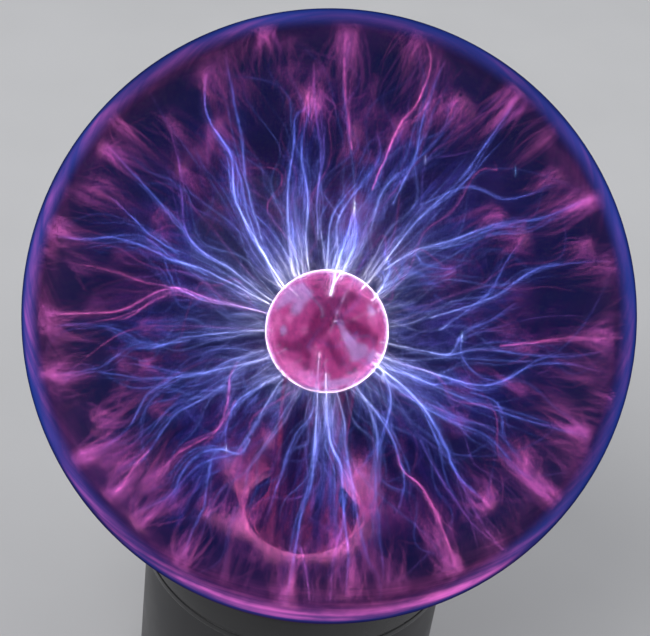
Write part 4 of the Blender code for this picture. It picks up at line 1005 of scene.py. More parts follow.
def make_electrode():
    radius, rings, sides = 0.0192, 90, 160
    last = math.radians(166)
    d = np.array([(math.sin(last * i / rings) * math.cos(2 * math.pi * k / sides),
                   math.sin(last * i / rings) * math.sin(2 * math.pi * k / sides), math.cos(last * i / rings))
                  for i in range(rings + 1) for k in range(sides)])
    faces = [(i * sides + k, (i + 1) * sides + k, (i + 1) * sides + (k + 1) % sides, i * sides + (k + 1) % sides)
             for i in range(rings) for k in range(sides)]
    mesh = bpy.data.meshes.new("electrode_lining")
    mesh.from_pydata((d * radius + np.array(BULB)).tolist(), [], faces)
    face = d @ np.array(BACK)
    eye = (BULB - CENTRE).dot(BACK)

    def patches(rows):
        total = np.zeros(len(d))
        for x, y, size in rows:
            flat = in_view(x, y, eye) - BULB
            flat -= BACK * flat.dot(BACK)
            if flat.length > radius * 0.97:
                flat *= radius * 0.97 / flat.length
            out = np.array((flat + BACK * math.sqrt(radius ** 2 - flat.length ** 2)) / radius)
            gap = np.linalg.norm(d - out, axis=1) * radius * 3000 / size
            total += np.where(face > -0.1, np.exp(-gap ** 2 / 1.6), 0.0)
        return np.clip(total, 0, 1.4)

    colours = np.ones((len(d), 4))
    colours[:, 0], colours[:, 1], colours[:, 2] = patches(VEINS), patches(LILAC), patches(LOBES)
    attribute = mesh.color_attributes.new("patches", "FLOAT_COLOR", "POINT")
    attribute.data.foreach_set("color", colours.astype(np.float32).ravel())
    attribute = mesh.color_attributes.new("front", "FLOAT_COLOR", "POINT")
    front = np.ones((len(d), 4))
    front[:, :3] = np.clip((face + 0.15) / 0.45, 0, 1)[:, None]
    attribute.data.foreach_set("color", front.astype(np.float32).ravel())
    mesh.update()

    n = Nodes("electrode_lining")
    parts = n.tree.nodes.new("ShaderNodeSeparateColor")
    n.tree.links.new(n("Attribute", out="Color", attribute_name="patches"), parts.inputs[0])
    front = n("Attribute", out="Fac", attribute_name="front")
    place = n.place()
    warp = n("VectorMath", {0: place, 1: n("VectorMath", {0: n.noise(place, 60.0, 2.0, out=1), "Scale": 0.010}, operation="SCALE")},
             operation="ADD")
    rough = n.noise(warp, 70.0, 2.0, 0.5)
    elsewhere = n.math("SUBTRACT", 1.0, front, clamp=True)
    dark = n.math("ADD", n.math("MULTIPLY", parts.outputs[0], front),
                  n.math("MULTIPLY", n.spread(n.noise(warp, 75.0, 2.0), 0.52, 0.66), elsewhere))
    pale = n.math("ADD", n.math("MULTIPLY", parts.outputs[1], front),
                  n.math("MULTIPLY", n.spread(n.noise(n("VectorMath", {0: warp, 1: (3.0, 1.0, 2.0)}, operation="ADD"), 70.0, 2.0), 0.56, 0.70), elsewhere))
    lobes = n.math("ADD", parts.outputs[2], n.math("MULTIPLY", n.spread(rough, 0.45, 0.75), 0.5))
    colour = n.mix(n.spread(lobes, 0.1, 1.0), (0.40, 0.050, 0.20), (0.66, 0.135, 0.40))
    colour = n.mix(n.math("MULTIPLY", n.spread(n.math("ADD", pale, n.math("MULTIPLY", n.math("SUBTRACT", rough, 0.5), 0.5)), 0.15, 0.85), 0.85),
                   colour, (0.46, 0.25, 0.58))
    colour = n.mix(n.math("MULTIPLY", n.spread(n.math("ADD", dark, n.math("MULTIPLY", n.math("SUBTRACT", rough, 0.5), 0.6)), 0.12, 0.95), 0.92),
                   colour, (0.165, 0.012, 0.060))
    shader = n("BsdfPrincipled", {"Base Color": (0.01, 0.003, 0.006), "Roughness": 0.6,
                                  "Emission Color": colour, "Emission Strength": LIGHT * 0.92})
    core = link("electrode_lining", mesh, "base", [no_sampling(n.surface(shader))])
    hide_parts("electrode_core")

    # painted glow on the electrode's glass ball: emission rising towards its edge with the viewing angle, pink turning
    # pale lilac at the rim
    n = Nodes("electrode_glass")
    edge = n("LayerWeight", {"Blend": 0.5}, out="Facing")
    rim = n.math("POWER", n.spread(edge, 0.62, 0.88, smooth=False), 1.6)
    soft = n.spread(edge, 0.30, 0.72)
    speck = n.spread(n.noise(n.place(), 120.0, 3.0), 0.3, 0.7, 0.8, 1.2)
    strength = n.math("MULTIPLY", n.math("ADD", n.math("MULTIPLY", rim, 0.80), n.math("MULTIPLY", soft, 0.26)), n.math("MULTIPLY", speck, LIGHT))
    glow = n("Emission", {"Color": n.mix(rim, (0.95, 0.25, 0.72), (0.90, 0.72, 1.0)), "Strength": strength})
    clear = n("BsdfTransparent", {"Color": (1, 1, 1)})
    glass = no_sampling(n.surface(n("AddShader", {0: clear, 1: glow})))
    outer = arc(BULB_R, BULB.z, 0, 143, 60)
    inner = arc(BULB_R - 0.0012, BULB.z, 143, 0, 50)
    bulb = lathe("electrode_ball", outer + inner, 96, "base", [glass, clear_wall_material()], closed=False,
                 slots=[0] * 61 + [1] * 60)
    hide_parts("electrode_bulb")
    for obj in (core, bulb):
        obj.visible_diffuse = False


def make_stem():
    # painted glow on the stem's glass: maroon emission in soft streaks along it, brighter towards its edge with the
    # viewing angle
    n = Nodes("stem_glass")
    place = n.place()
    edge = n("LayerWeight", {"Blend": 0.5}, out="Facing")
    stripes = n.noise(n("VectorMath", {0: place, 1: (1.0, 1.0, 0.12)}, operation="MULTIPLY"), 260.0, 3.0, 0.6)
    cloud = n.noise(place, 60.0, 2.0)
    glow = n.math("ADD", n.math("MULTIPLY", n.spread(stripes, 0.40, 0.75), n.spread(cloud, 0.3, 0.7, 0.25, 1.0)),
                  n.math("MULTIPLY", n.math("POWER", edge, 3.0), 1.1))
    shader = n("BsdfPrincipled", {
        "Base Color": n.mix(cloud, (0.010, 0.002, 0.006), (0.018, 0.003, 0.010)),
        "Roughness": 0.08, "IOR": 1.3, "Specular IOR Level": 0.3, "Alpha": 0.95,
        "Emission Color": n.mix(n.spread(stripes, 0.3, 0.7), (0.10, 0.012, 0.075), (0.18, 0.020, 0.060)),
        "Emission Strength": n.math("MULTIPLY", glow, LIGHT * 0.75)})
    glass = no_sampling(n.surface(shader))
    top = BULB.z - 0.0165
    outer = [(0.0125, top), (0.0125, 0.1040), (0.0127, 0.1005), (0.0132, 0.0970), (0.0142, 0.0930), (0.0158, 0.0890),
             (0.0176, 0.0855), (0.0190, 0.0825), (0.0196, 0.0800), (0.0196, 0.0782)]
    inner = [(0.0181, 0.0782), (0.0180, 0.0808), (0.0160, 0.0850), (0.0142, 0.0890), (0.0126, 0.0930), (0.0116, 0.0970),
             (0.0110, 0.1040), (0.0110, top)]
    stem = lathe("stem_tube", outer + inner, 72, "base", [glass])
    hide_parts("glass_stem")


# ------------------------------------------------------------------ materials


def abs_material(name="black_abs", colour=(0.012, 0.012, 0.014), rough=0.34, grain_strength=0.55):
    """Moulded black plastic: fine grain, slightly uneven sheen, a few scuffs
    and a little dust where a hand doesn't wipe it."""
    n = Nodes(name)
    place = n.place()
    grain = n.noise(place, 2300.0, 2.0, 0.6)
    cloud = n.noise(place, 55.0, 4.0, 0.6)
    scuff = n.spread(n.noise(n("VectorMath", {0: place, 1: (1.0, 1.0, 6.0)}, operation="MULTIPLY"), 160.0, 4.0, 0.7), 0.62, 0.80)
    dust = n.math("MULTIPLY", n.spread(n.noise(place, 700.0, 2.0, 0.5), 0.66, 0.76), n.spread(cloud, 0.5, 0.75))
    base = n.mix(n.spread(cloud, 0.3, 0.7), colour, tuple(v * 1.6 + 0.001 for v in colour))
    base = n.mix(n.math("MULTIPLY", scuff, 0.30), base, (0.045, 0.045, 0.047))
    base = n.mix(n.math("MULTIPLY", dust, 0.20), base, (0.16, 0.155, 0.15))
    sheen = n.math("ADD", n.spread(cloud, 0.3, 0.7, rough, rough + 0.09), n.math("MULTIPLY", scuff, 0.14))
    shader = n("BsdfPrincipled", {"Base Color": base, "Roughness": sheen, "IOR": 1.5,
                                  "Normal": n.bump(grain, 0.00006, grain_strength)})
    return n.surface(shader)


def plain_material(name, colour, rough, metallic=0.0, grain=900.0, depth=0.00004, other=None):
    """A base for the small parts: two tones, uneven roughness and fine grain."""
    n = Nodes(name)
    place = n.place()
    cloud = n.noise(place, 180.0, 4.0, 0.6)
    other = other or tuple(v * 0.7 for v in colour)
    shader = n("BsdfPrincipled", {
        "Base Color": n.mix(n.spread(cloud, 0.35, 0.68), colour, other),
        "Metallic": metallic,
        "Roughness": n.spread(cloud, 0.3, 0.7, rough * 0.85, min(1.0, rough * 1.2)),
        "Normal": n.bump(n.noise(place, grain, 2.0, 0.6), depth, 0.6)})
    return n.surface(shader)


def dress_nodes():
    """Gives every CAD node whose slot has a material made here that material; nodes of one slot share it."""
    slots = {e["node"]: e["material_slot"] for e in frame["record"]["subparts"]}
    made = {
        "black_plastic": abs_material(),
        "gloss_black": abs_material("gloss_black", (0.009, 0.009, 0.010), 0.20, 0.25),
        "soft_black": plain_material("soft_black", (0.018, 0.018, 0.019), 0.62, grain=2600.0, depth=0.00005),
        "print_white": plain_material("print_white", (0.55, 0.55, 0.56), 0.55, other=(0.42, 0.42, 0.43)),
        "black_rubber": plain_material("black_rubber", (0.016, 0.016, 0.016), 0.78, grain=1500.0, depth=0.00008),
        "red_silicone": plain_material("red_silicone", (0.42, 0.03, 0.02), 0.45),
        "clear_silicone": plain_material("clear_silicone", (0.42, 0.43, 0.45), 0.42, other=(0.30, 0.31, 0.33)),
        "grey_plastic": plain_material("grey_plastic", (0.42, 0.42, 0.43), 0.40),
        "zinc_steel": plain_material("zinc_steel", (0.56, 0.56, 0.57), 0.32, 1.0, grain=600.0),
        "nickel_plate": plain_material("nickel_plate", (0.66, 0.63, 0.58), 0.20, 1.0, grain=400.0),
        "microphone_can": plain_material("microphone_can", (0.60, 0.60, 0.61), 0.34, 1.0),
        "board_laminate": plain_material("board_laminate", (0.012, 0.10, 0.035), 0.38, other=(0.02, 0.15, 0.05)),
        "ferrite": plain_material("ferrite", (0.035, 0.035, 0.038), 0.62, grain=2200.0, depth=0.0001),
        "bobbin_plastic": plain_material("bobbin_plastic", (0.55, 0.48, 0.36), 0.45),
        "copper_wire": plain_material("copper_wire", (0.60, 0.22, 0.08), 0.30, 1.0),
        "varnished_wire": plain_material("varnished_wire", (0.26, 0.05, 0.02), 0.25),
        "plain_aluminium": plain_material("plain_aluminium", (0.60, 0.60, 0.61), 0.38, 1.0),
        "epoxy_black": plain_material("epoxy_black", (0.02, 0.02, 0.02), 0.52, grain=2500.0, depth=0.00008),
        "capacitor_sleeve": plain_material("capacitor_sleeve", (0.015, 0.03, 0.10), 0.25),
        "capacitor_film": plain_material("capacitor_film", (0.45, 0.20, 0.03), 0.30),
        "resistor_body": plain_material("resistor_body", (0.50, 0.36, 0.20), 0.45),
        "red_pvc": plain_material("red_pvc", (0.45, 0.02, 0.015), 0.40),
        "black_pvc": plain_material("black_pvc", (0.015, 0.015, 0.015), 0.42),
        "grey_pvc": plain_material("grey_pvc", (0.30, 0.30, 0.31), 0.42),
        "yellow_pvc": plain_material("yellow_pvc", (0.52, 0.38, 0.04), 0.42),
    }
    for name, obj in frame["nodes"].items():
        material = made.get(slots[name])
        if material is None:
            continue
        obj.data.materials.clear()
        obj.data.materials.append(material)
    return made


# ------------------------------------------------------------------- the base

R_BASE, R_COLLAR = 0.055, 0.0572
CONTROL_Z, JACK_Z = 0.034, 0.024
DIAL_ANGLE, MIC_ANGLE = -50.0, -130.0


def polar(radius, degrees, z=0.0):
    a = math.radians(degrees)
    return Vector((radius * math.cos(a), radius * math.sin(a), z))


def facing(direction, at=(0.0, 0.0, 0.0)):
    """Turns a shape's own Z to point along a direction, and sets it at a place."""
    turn = Vector((0, 0, 1)).rotation_difference(Vector(direction)).to_matrix().to_4x4()
    return Matrix.Translation(Vector(at)) @ turn


def from_bm(bm, name, matrix=None):
    if matrix is not None:
        bm.transform(matrix)
    bmesh.ops.recalc_face_normals(bm, faces=bm.faces)
    mesh = bpy.data.meshes.new(name)
    bm.to_mesh(mesh)
    bm.free()
    obj = bpy.data.objects.new(name, mesh)
    scene.collection.objects.link(obj)
    return obj


def spun(name, profile, sides, matrix=None, closed=True, wave=None):
    """A profile of (radius, height) in millimetres turned about Z. wave gives
    a factor on the radius by angle and by the profile point's number."""
    bm = bmesh.new()
    rows = []
    for n, (r, z) in enumerate(profile):
        if r == 0:
            rows.append([bm.verts.new((0, 0, z * MM))])
            continue
        row = []
        for k in range(sides):
            a = 2 * math.pi * k / sides
            q = r * MM * (wave(a, n) if wave else 1.0)
            row.append(bm.verts.new((q * math.cos(a), q * math.sin(a), z * MM)))
        rows.append(row)
    for a, b in list(zip(rows, rows[1:])) + ([(rows[-1], rows[0])] if closed else []):
        for k in range(sides):
            j = (k + 1) % sides
            if len(a) == 1 and len(b) == 1:
                continue
            if len(a) == 1:
                bm.faces.new((a[0], b[j], b[k]))
            elif len(b) == 1:
                bm.faces.new((a[k], a[j], b[0]))
            else:
                bm.faces.new((a[k], a[j], b[j], b[k]))
    return from_bm(bm, name, matrix)


def block(name, low, high, bevel=0.0, matrix=None, segments=3):
    bm = bmesh.new()
    bmesh.ops.create_cube(bm, size=1.0)
    low, high = Vector(low) * MM, Vector(high) * MM
    bmesh.ops.scale(bm, vec=high - low, verts=bm.verts)
    bmesh.ops.translate(bm, vec=(high + low) / 2, verts=bm.verts)
    if bevel:
        bmesh.ops.bevel(bm, geom=list(bm.edges), offset=bevel * MM, segments=segments, profile=0.5,
                        affect="EDGES", clamp_overlap=True)
    return from_bm(bm, name, matrix)


def bar(name, radius, low, high, sides=48, matrix=None):
    return spun(name, [(0, low), (radius, low), (radius, high), (0, high)], sides, matrix, closed=False)


def carved(obj, adds=(), cuts=()):
    """Joins shapes to a piece and cuts others from it; the shapes go."""
    for other, kind in [(o, "UNION") for o in adds] + [(o, "DIFFERENCE") for o in cuts]:
        modifier = obj.modifiers.new("shape", "BOOLEAN")
        modifier.operation, modifier.solver, modifier.object = kind, "EXACT", other
    bpy.context.view_layer.update()
    ready = obj.evaluated_get(bpy.context.evaluated_depsgraph_get())
    mesh = bpy.data.meshes.new_from_object(ready)
    obj.modifiers.clear()
    old, obj.data = obj.data, mesh
    bpy.data.meshes.remove(old)
    for other in list(adds) + list(cuts):
        data = other.data
        bpy.data.objects.remove(other, do_unlink=True)
        bpy.data.meshes.remove(data)
    return obj


def dress(obj, body, material, *nodes, slot=None, angle=30):
    obj.data.materials.clear()
    obj.data.materials.append(material)
    obj.data.shade_smooth()
    obj.data.set_sharp_from_angle(angle=math.radians(angle))
    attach(obj, body)
    if nodes:
        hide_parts(*nodes)
    return obj


def rounded(points, radius, steps=3):
    """Rounds the corners of an open profile that are marked with a radius."""
    found = []
    for k, p in enumerate(points):
        r = radius.get(k, 0.0)
        if not r:
            found.append(p)
            continue
        a, b, c = Vector(points[k - 1]), Vector(p), Vector(points[(k + 1) % len(points)])
        before, after = (a - b).normalized(), (c - b).normalized()
        for s in range(steps + 1):
            t = s / steps
            q = (b + before * r) * (1 - t) ** 2 + b * 2 * t * (1 - t) + (b + after * r) * t ** 2
            found.append((q.x, q.y))
    return found


def make_housing(made):
    r, wall, foot, top = 55.0, 2.5, 3.0, 84.0
    profile = rounded([
        (r - 0.2, foot), (r, foot + 0.9), (r, 14.0), (r - 0.8, 14.3), (r - 0.8, 15.9), (r, 16.2), (r, 80.0),
        (r - 1.8, 80.0), (r - 1.8, top), (26.5, top), (26.5, top - 3), (r - wall, top - 3), (r - wall, foot)],
        {0: 0.3, 2: 0.35, 5: 0.35, 6: 0.5, 8: 0.3, 9: 0.4})
    housing = spun("housing_shell", profile, 180)
    out, mic = polar(1.0, DIAL_ANGLE), polar(1.0, MIC_ANGLE)
    dial_at, mic_at = facing(out, (0, 0, CONTROL_Z)), Vector((0, 0, CONTROL_Z))
    jack_at = facing((0, 1, 0), (0, 0, JACK_Z))
    z = CONTROL_Z / MM
    adds = [block("switch_pad", (-14.0, -53.4, z - 9), (14.0, -50.5, z + 9)),
            block("dial_pad", (50.0, -11.0, z - 11), (53.6, 11.0, z + 11), matrix=Matrix.Rotation(math.radians(DIAL_ANGLE), 4, "Z")),
            block("jack_pad", (-10.5, 49.5, JACK_Z / MM - 9.5), (10.5, 53.6, JACK_Z / MM + 9.5))]
    cuts = [block("pocket", (-12.5, -60.0, z - 5.5), (12.5, -53.8, z + 5.5), bevel=0.9),
            block("slot", (-6.3, -60.0, z - 2.4), (6.3, -45.0, z + 2.4), bevel=0.4),
            spun("dial_face", [(0, 54.2), (10.6, 54.2), (11.2, 62.0), (0, 62.0)], 72, dial_at, closed=False),
            bar("dial_hole", 4.0, 45.0, 60.0, 36, dial_at),
            spun("jack_face", [(0, 54.3), (8.2, 54.3), (8.7, 62.0), (0, 62.0)], 60, jack_at, closed=False),
            bar("jack_hole", 5.8, 45.0, 60.0, 40, jack_at)]
    across = Vector((-mic.y, mic.x, 0))
    for k in range(5):
        a = math.radians(90 * k + 45)
        off = Vector((0, 0, 0)) if k == 4 else (across * math.cos(a) + Vector((0, 0, math.sin(a)))) * 0.0024
        cuts.append(spun(f"sound_{k}", [(0, 48.0), (0.8, 48.0), (0.8, 54.45), (1.25, 55.05), (1.25, 60.0), (0, 60.0)], 20,
                         facing(mic, mic_at + off), closed=False))
    for k, angle in enumerate((56, 63, 70, 110, 117, 124)):
        cuts.append(block(f"vent_{k}", (48.0, -1.0, 50.0), (60.0, 1.0, 70.0), bevel=0.95, segments=5,
                          matrix=Matrix.Rotation(math.radians(angle), 4, "Z")))
    for k, angle in enumerate((90, 210, 330)):
        cuts.append(bar(f"deck_hole_{k}", 1.9, 78.0, 88.0, 20, Matrix.Translation(polar(0.038, angle))))
    for k, (x, y) in enumerate([(sx * 42.8, sy * 15.6) for sx in (1, -1) for sy in (1, -1)]):
        angle = math.degrees(math.atan2(y, x))
        adds += [bar(f"boss_{k}", 4.2, 6.4, 26.0, 28, Matrix.Translation((x * MM, y * MM, 0))),
                 block(f"rib_{k}", (44.0, -1.5, 6.4), (r - 1.2, 1.5, 25.0), matrix=Matrix.Rotation(math.radians(angle), 4, "Z"))]
        cuts.append(bar(f"boss_hole_{k}", 1.7, 5.0, 21.0, 16, Matrix.Translation((x * MM, y * MM, 0))))
    carved(housing, adds, cuts)
    dress(housing, "base", made["black_plastic"], "base_housing", slot="black_plastic", angle=24)


def make_collar(made):
    profile = rounded([
        (55.8, 80.4), (57.2, 81.6), (57.2, 84.0), (56.85, 84.35), (56.85, 85.15), (57.2, 85.5), (57.2, 97.2), (56.4, 99.6),
        (54.6, 100.6), (53.0, 100.4), (52.3, 98.4), (52.3, 92.9), (44.2, 92.9), (44.2, 87.4), (30.0, 87.4), (30.0, 84.4),
        (53.6, 84.4), (53.6, 80.4)], {1: 0.5, 2: 0.2, 5: 0.2, 6: 0.9, 7: 0.9, 8: 0.8, 9: 0.6, 12: 0.4, 17: 0.3}, 4)
    collar = spun("collar_ring", profile, 200)
    adds, cuts = [], []
    for k, angle in enumerate((90, 210, 330)):
        m = Matrix.Translation(polar(0.038, angle))
        adds.append(bar(f"collar_boss_{k}", 3.6, 85.5, 90.6, 24, m))
        cuts.append(bar(f"collar_hole_{k}", 1.8, 80.0, 89.3, 16, m))
    carved(collar, adds, cuts)
    dress(collar, "base", made["gloss_black"], "retaining_collar", slot="black_plastic", angle=24)
    gasket = spun("gasket_ring", rounded([(45.0, 93.3), (51.8, 93.3), (51.8, 100.0), (48.4, 98.0), (45.0, 96.2)],
                                         {1: 0.5, 2: 0.4}, 3), 160)
    dress(gasket, "base", made["black_rubber"], "globe_gasket", slot="black_rubber")


def make_cover(made):
    cover = spun("cover_disc", rounded([(0, 3.0), (51.4, 3.0), (52.1, 3.7), (52.1, 6.0), (0, 6.0)], {1: 0.4}, 3), 160, closed=False)
    adds, cuts = [], []
    for k in range(4):
        at = Matrix.Translation(polar(0.043, 45 + 90 * k))
        cuts.append(bar(f"foot_recess_{k}", 7.4, 0.0, 5.0, 48, at))
        profile = rounded([(0, 0.0), (6.1, 0.0), (7.0, 1.2), (7.0, 4.6), (0, 4.6)], {1: 0.5, 2: 0.5}, 3)
        foot = spun(f"foot_pad_{k + 1}", profile, 56, at, closed=False)
        carved(foot, (), [spun(f"foot_ring_{k}", [(3.6, -0.5), (4.4, -0.5), (4.2, 0.35), (3.8, 0.35)], 48, at)])
        dress(foot, "base", made["black_rubber"], f"rubber_foot_{k + 1}", slot="black_rubber")
    for k, (x, y) in enumerate([(sx * 42.8, sy * 15.6) for sx in (1, -1) for sy in (1, -1)]):
        at = Matrix.Translation((x * MM, y * MM, 0))
        cuts += [bar(f"sink_{k}", 3.6, 0.0, 4.7, 28, at), bar(f"screw_hole_{k}", 1.9, 0.0, 8.0, 20, at)]
    for k in range(5):
        y = -14 + 7 * k
        half = 17.0 if k in (0, 4) else 21.0
        cuts.append(block(f"floor_vent_{k}", (-half, y - 1.1, 0.0), (half, y + 1.1, 8.0)))
    for k, (x, y) in enumerate(standoffs()):
        m = Matrix.Translation((x, y, 0))
        adds.append(bar(f"standoff_{k}", 3.2, 5.0, 13.6, 28, m))
        cuts.append(bar(f"standoff_hole_{k}", 1.65, 7.4, 16.0, 16, m))
    carved(cover, adds, cuts)
    dress(cover, "base", made["black_plastic"], "bottom_cover", slot="black_plastic")


def standoffs():
    """Where the board's four screws stand."""
    found = []
    for k in range(4):
        low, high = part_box(f"board_screw_{k + 1}")
        found.append(((low[0] + high[0]) / 2, (low[1] + high[1]) / 2))
    return found


def make_dial(made):
    out = polar(1.0, DIAL_ANGLE)
    across = Vector((0, 0, 1)).cross(out).normalized()
    at = Matrix.Translation(out * 0.055 + Vector((0, 0, CONTROL_Z))) @ Matrix((across, (0, 0, 1), out)).transposed().to_4x4()
    profile = rounded([(0, 12.15), (5.6, 12.15), (6.3, 12.4), (7.3, 12.4), (8.35, 11.3), (8.62, 2.2), (8.7, 1.6), (8.7, 0.6),
                       (6.5, 0.6), (6.5, 2.0), (2.5, 2.0), (2.5, 9.5), (0, 9.5)],
                      {1: 0.3, 2: 0.3, 3: 0.4, 4: 0.6, 6: 0.1}, 3)
    ridge = [k for k, (r, z) in enumerate(profile) if r > 7.8 and 2.0 < z < 11.9]

    def flutes(a, n):
        return 1.0 - 0.040 * (0.5 + 0.5 * math.cos(30 * a)) ** 2.2 if n in ridge else 1.0

    knob = spun("dial_knob", profile, 240, at, closed=False, wave=flutes)
    mark = block("mark", (-0.45, 3.4, 11.7), (0.45, 9.6, 14.0), bevel=0.15, matrix=at)
    carved(knob, (), [mark])
    dress(knob, "dial", made["soft_black"], "sensitivity_dial", slot="black_plastic", angle=28)
    line = block("dial_pointer", (-0.36, 3.55, 11.55), (0.36, 7.7, 12.12), bevel=0.08, matrix=at)
    dress(line, "dial", made["print_white"], slot="grey_plastic")


def make_marks(made):
    """A printed scale round the dial and three position marks over the
    switch: lines and dots only."""
    out = polar(1.0, DIAL_ANGLE)
    side = Vector((-out.y, out.x, 0.0))
    bm = bmesh.new()

    def patch(corners):
        """A thin pad that follows the housing's round wall; corners are
        (along the wall, height) from the base's axis at the given heading."""
        inner, outer = [], []
        for heading, s, z in corners:
            a = math.radians(heading) + s / R_BASE
            inner.append(bm.verts.new(((R_BASE - 0.00012) * math.cos(a), (R_BASE - 0.00012) * math.sin(a), z)))
            outer.append(bm.verts.new(((R_BASE + 0.00006) * math.cos(a), (R_BASE + 0.00006) * math.sin(a), z)))
        count = len(corners)
        bm.faces.new(outer)
        bm.faces.new(list(reversed(inner)))
        for k in range(count):
            j = (k + 1) % count
            bm.faces.new((inner[k], inner[j], outer[j], outer[k]))

    def dot(heading, s, z, radius, sides=20):
        patch([(heading, s + radius * math.cos(2 * math.pi * k / sides), z + radius * math.sin(2 * math.pi * k / sides))
               for k in range(sides)])

    for k in range(11):
        a = math.radians(-150 + 30 * k)
        near, far, half = 0.0125, 0.0140 if k % 5 else 0.0148, 0.00018 if k % 5 else 0.00028
        c, s = math.sin(a), math.cos(a)
        corners = []
        for q, w in ((near, -half), (far, -half), (far, half), (near, half)):
            corners.append((DIAL_ANGLE, q * c + w * s, CONTROL_Z + q * s - w * c))
        patch(corners)
    for x, dots in ((-0.0045, 1), (0.0, 2), (0.0045, 3)):
        for n in range(dots):
            dot(-90.0, x + 0.0011 * (n - (dots - 1) / 2), CONTROL_Z + 0.0076, 0.00036)
    dot(MIC_ANGLE, 0.0, CONTROL_Z + 0.0062, 0.0003)
    for k in range(3):                                   # arcs over the sound holes
        q = 0.0052 + 0.0012 * k
        for n in range(5):
            a0, a1 = math.radians(-28 + 11.2 * n), math.radians(-28 + 11.2 * (n + 1))
            patch([(MIC_ANGLE, r * math.sin(a), CONTROL_Z + 0.0016 + r * math.cos(a))
                   for r, a in ((q, a0), (q, a1), (q + 0.0003, a1), (q + 0.0003, a0))])
    a = 90.0
    for k in range(24):                                  # ring round the socket
        t0, t1 = 2 * math.pi * k / 24, 2 * math.pi * (k + 1) / 24
        patch([(a, r * math.cos(t), JACK_Z + r * math.sin(t)) for r, t in ((0.0096, t0), (0.0100, t0), (0.0100, t1), (0.0096, t1))])
    marks = from_bm(bm, "printed_marks")
    dress(marks, "base", made["print_white"], slot="grey_plastic", angle=20)


def make_jack(made):
    at = facing((0, 1, 0), (0, 0, JACK_Z))
    profile = rounded([(0, 38.0), (5.3, 38.0), (5.3, 54.7), (7.2, 54.7), (7.2, 55.5), (6.8, 55.9), (3.6, 55.9), (3.1, 55.4),
                       (3.1, 46.0), (0, 46.0)], {3: 0.15, 4: 0.2, 5: 0.15, 6: 0.2}, 3)
    jack = spun("socket_body", profile, 64, at, closed=False)
    carved(jack, [block("tail", (-5.6, 36.4, JACK_Z / MM - 5.6), (5.6, 44.4, JACK_Z / MM + 5.6), bevel=0.4)])
    dress(jack, "base", made["gloss_black"], "dc_jack_body", slot="black_plastic")
    pin = spun("socket_pin", rounded([(0, 46.4), (1.0, 46.4), (1.0, 54.2), (0, 54.9)], {2: 0.4}, 4), 28, at, closed=False)
    dress(pin, "base", made["nickel_plate"], "dc_jack_pin", slot="nickel_plate")


def make_slider(made):
    at = Matrix.Translation((0, -0.0484, CONTROL_Z))
    knob = block("slider_tip", (-2.6, -8.8, -1.9), (2.6, 0.6, 1.9), bevel=0.45, matrix=at, segments=4)
    cuts = [block(f"groove_{k}", (x - 0.32, -10.0, -3.0), (x + 0.32, -8.25, 3.0), bevel=0.12, matrix=at)
            for k, x in enumerate((-1.5, 0.0, 1.5))]
    carved(knob, [block("slider_foot", (-4.6, -1.2, -2.5), (4.6, 1.3, 2.5), bevel=0.15, matrix=at)], cuts)
    dress(knob, "switch_slider", made["grey_plastic"], "mode_switch_slider", slot="grey_plastic")


def make_controls_inside(made):
    """The nut and bush round the dial's shaft, and the microphone's can."""
    out = facing(polar(1.0, DIAL_ANGLE), (0, 0, CONTROL_Z))
    pot = spun("pot_can", rounded([(0, 40.5), (8.0, 40.5), (8.5, 41.0), (8.5, 49.0), (8.0, 49.6), (3.5, 49.6), (3.5, 56.3),
                                   (2.5, 56.3), (2.5, 45.0), (0, 45.0)], {1: 0.3, 3: 0.3}, 3), 64, out, closed=False)
    dress(pot, "base", made["zinc_steel"], "potentiometer_body", slot="zinc_steel")
    mic = facing(polar(1.0, MIC_ANGLE), (0, 0, CONTROL_Z))
    can = spun("microphone_can", rounded([(0, 44.6), (4.7, 44.6), (4.7, 51.3), (4.3, 51.7), (3.7, 51.7), (3.5, 51.5), (0, 51.5)],
                                         {1: 0.3, 2: 0.3, 3: 0.2}, 3), 48, mic, closed=False)
    dress(can, "base", made["microphone_can"], "microphone_capsule", slot="microphone_can")


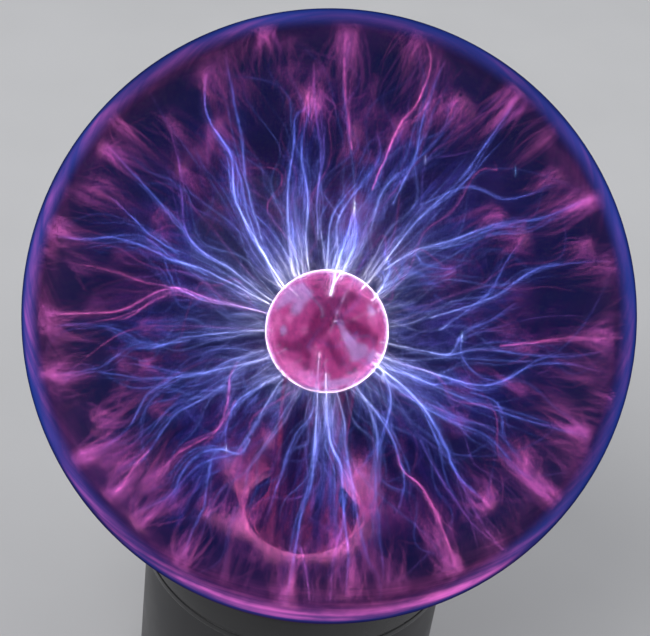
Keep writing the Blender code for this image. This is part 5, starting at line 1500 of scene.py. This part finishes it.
# --------------------------------------------------------------- the setting


def add_setting():
    n = Nodes("table_top")
    place = n.place()
    cloud = n.noise(place, 9.0, 3.0, 0.5)
    shader = n("BsdfPrincipled", {"Base Color": n.mix(n.spread(cloud, 0.3, 0.7), (0.63, 0.63, 0.64), (0.66, 0.66, 0.67)),
                                  "Roughness": 0.75, "Normal": n.bump(n.noise(place, 900.0, 2.0), 0.00005, 0.3)})
    mesh = bpy.data.meshes.new("floor")
    s = 6.0
    mesh.from_pydata([(-s, -s, 0), (s, -s, 0), (s, s, 0), (-s, s, 0)], [], [(0, 1, 2, 3)])
    mesh.materials.append(n.surface(shader))
    floor = bpy.data.objects.new("floor", mesh)
    scene.collection.objects.link(floor)
    floor.location.z = -0.0002

    world = bpy.data.worlds.new("studio")
    world.use_nodes = True
    world.node_tree.nodes["Background"].inputs[0].default_value = (0.80, 0.82, 0.86, 1.0)
    world.node_tree.nodes["Background"].inputs[1].default_value = 0.38
    scene.world = world
    for name, at, size, power in (("key", (-0.9, -0.7, 1.7), 1.6, 18.0), ("fill", (1.3, -0.2, 1.2), 1.4, 6.0),
                                  ("back", (0.2, 1.5, 1.4), 1.4, 7.0)):
        data = bpy.data.lights.new(name, "AREA")
        data.shape, data.size, data.energy = "DISK", size, power
        lamp = bpy.data.objects.new(name, data)
        lamp.visible_glossy = name == "key"
        scene.collection.objects.link(lamp)
        lamp.location = at
        lamp.rotation_euler = (Vector((0, 0, 0.12)) - Vector(at)).to_track_quat("-Z", "Y").to_euler()
    scene.view_settings.view_transform = "Standard"
    scene.cycles.transparent_max_bounces = 160
    scene.cycles.max_bounces = 10


add_camera()
add_setting()
made = dress_nodes()
make_housing(made)
make_collar(made)
make_cover(made)
make_dial(made)
make_marks(made)
make_jack(made)
make_slider(made)
make_controls_inside(made)
make_globe()
make_stem()
make_electrode()
rays = ray_paths()
spots = spots_on_glass(rays)
make_inner_glow(spots)
make_tufts(spots)
make_neck_glow()
make_veils(rays)
make_streamers(rays)
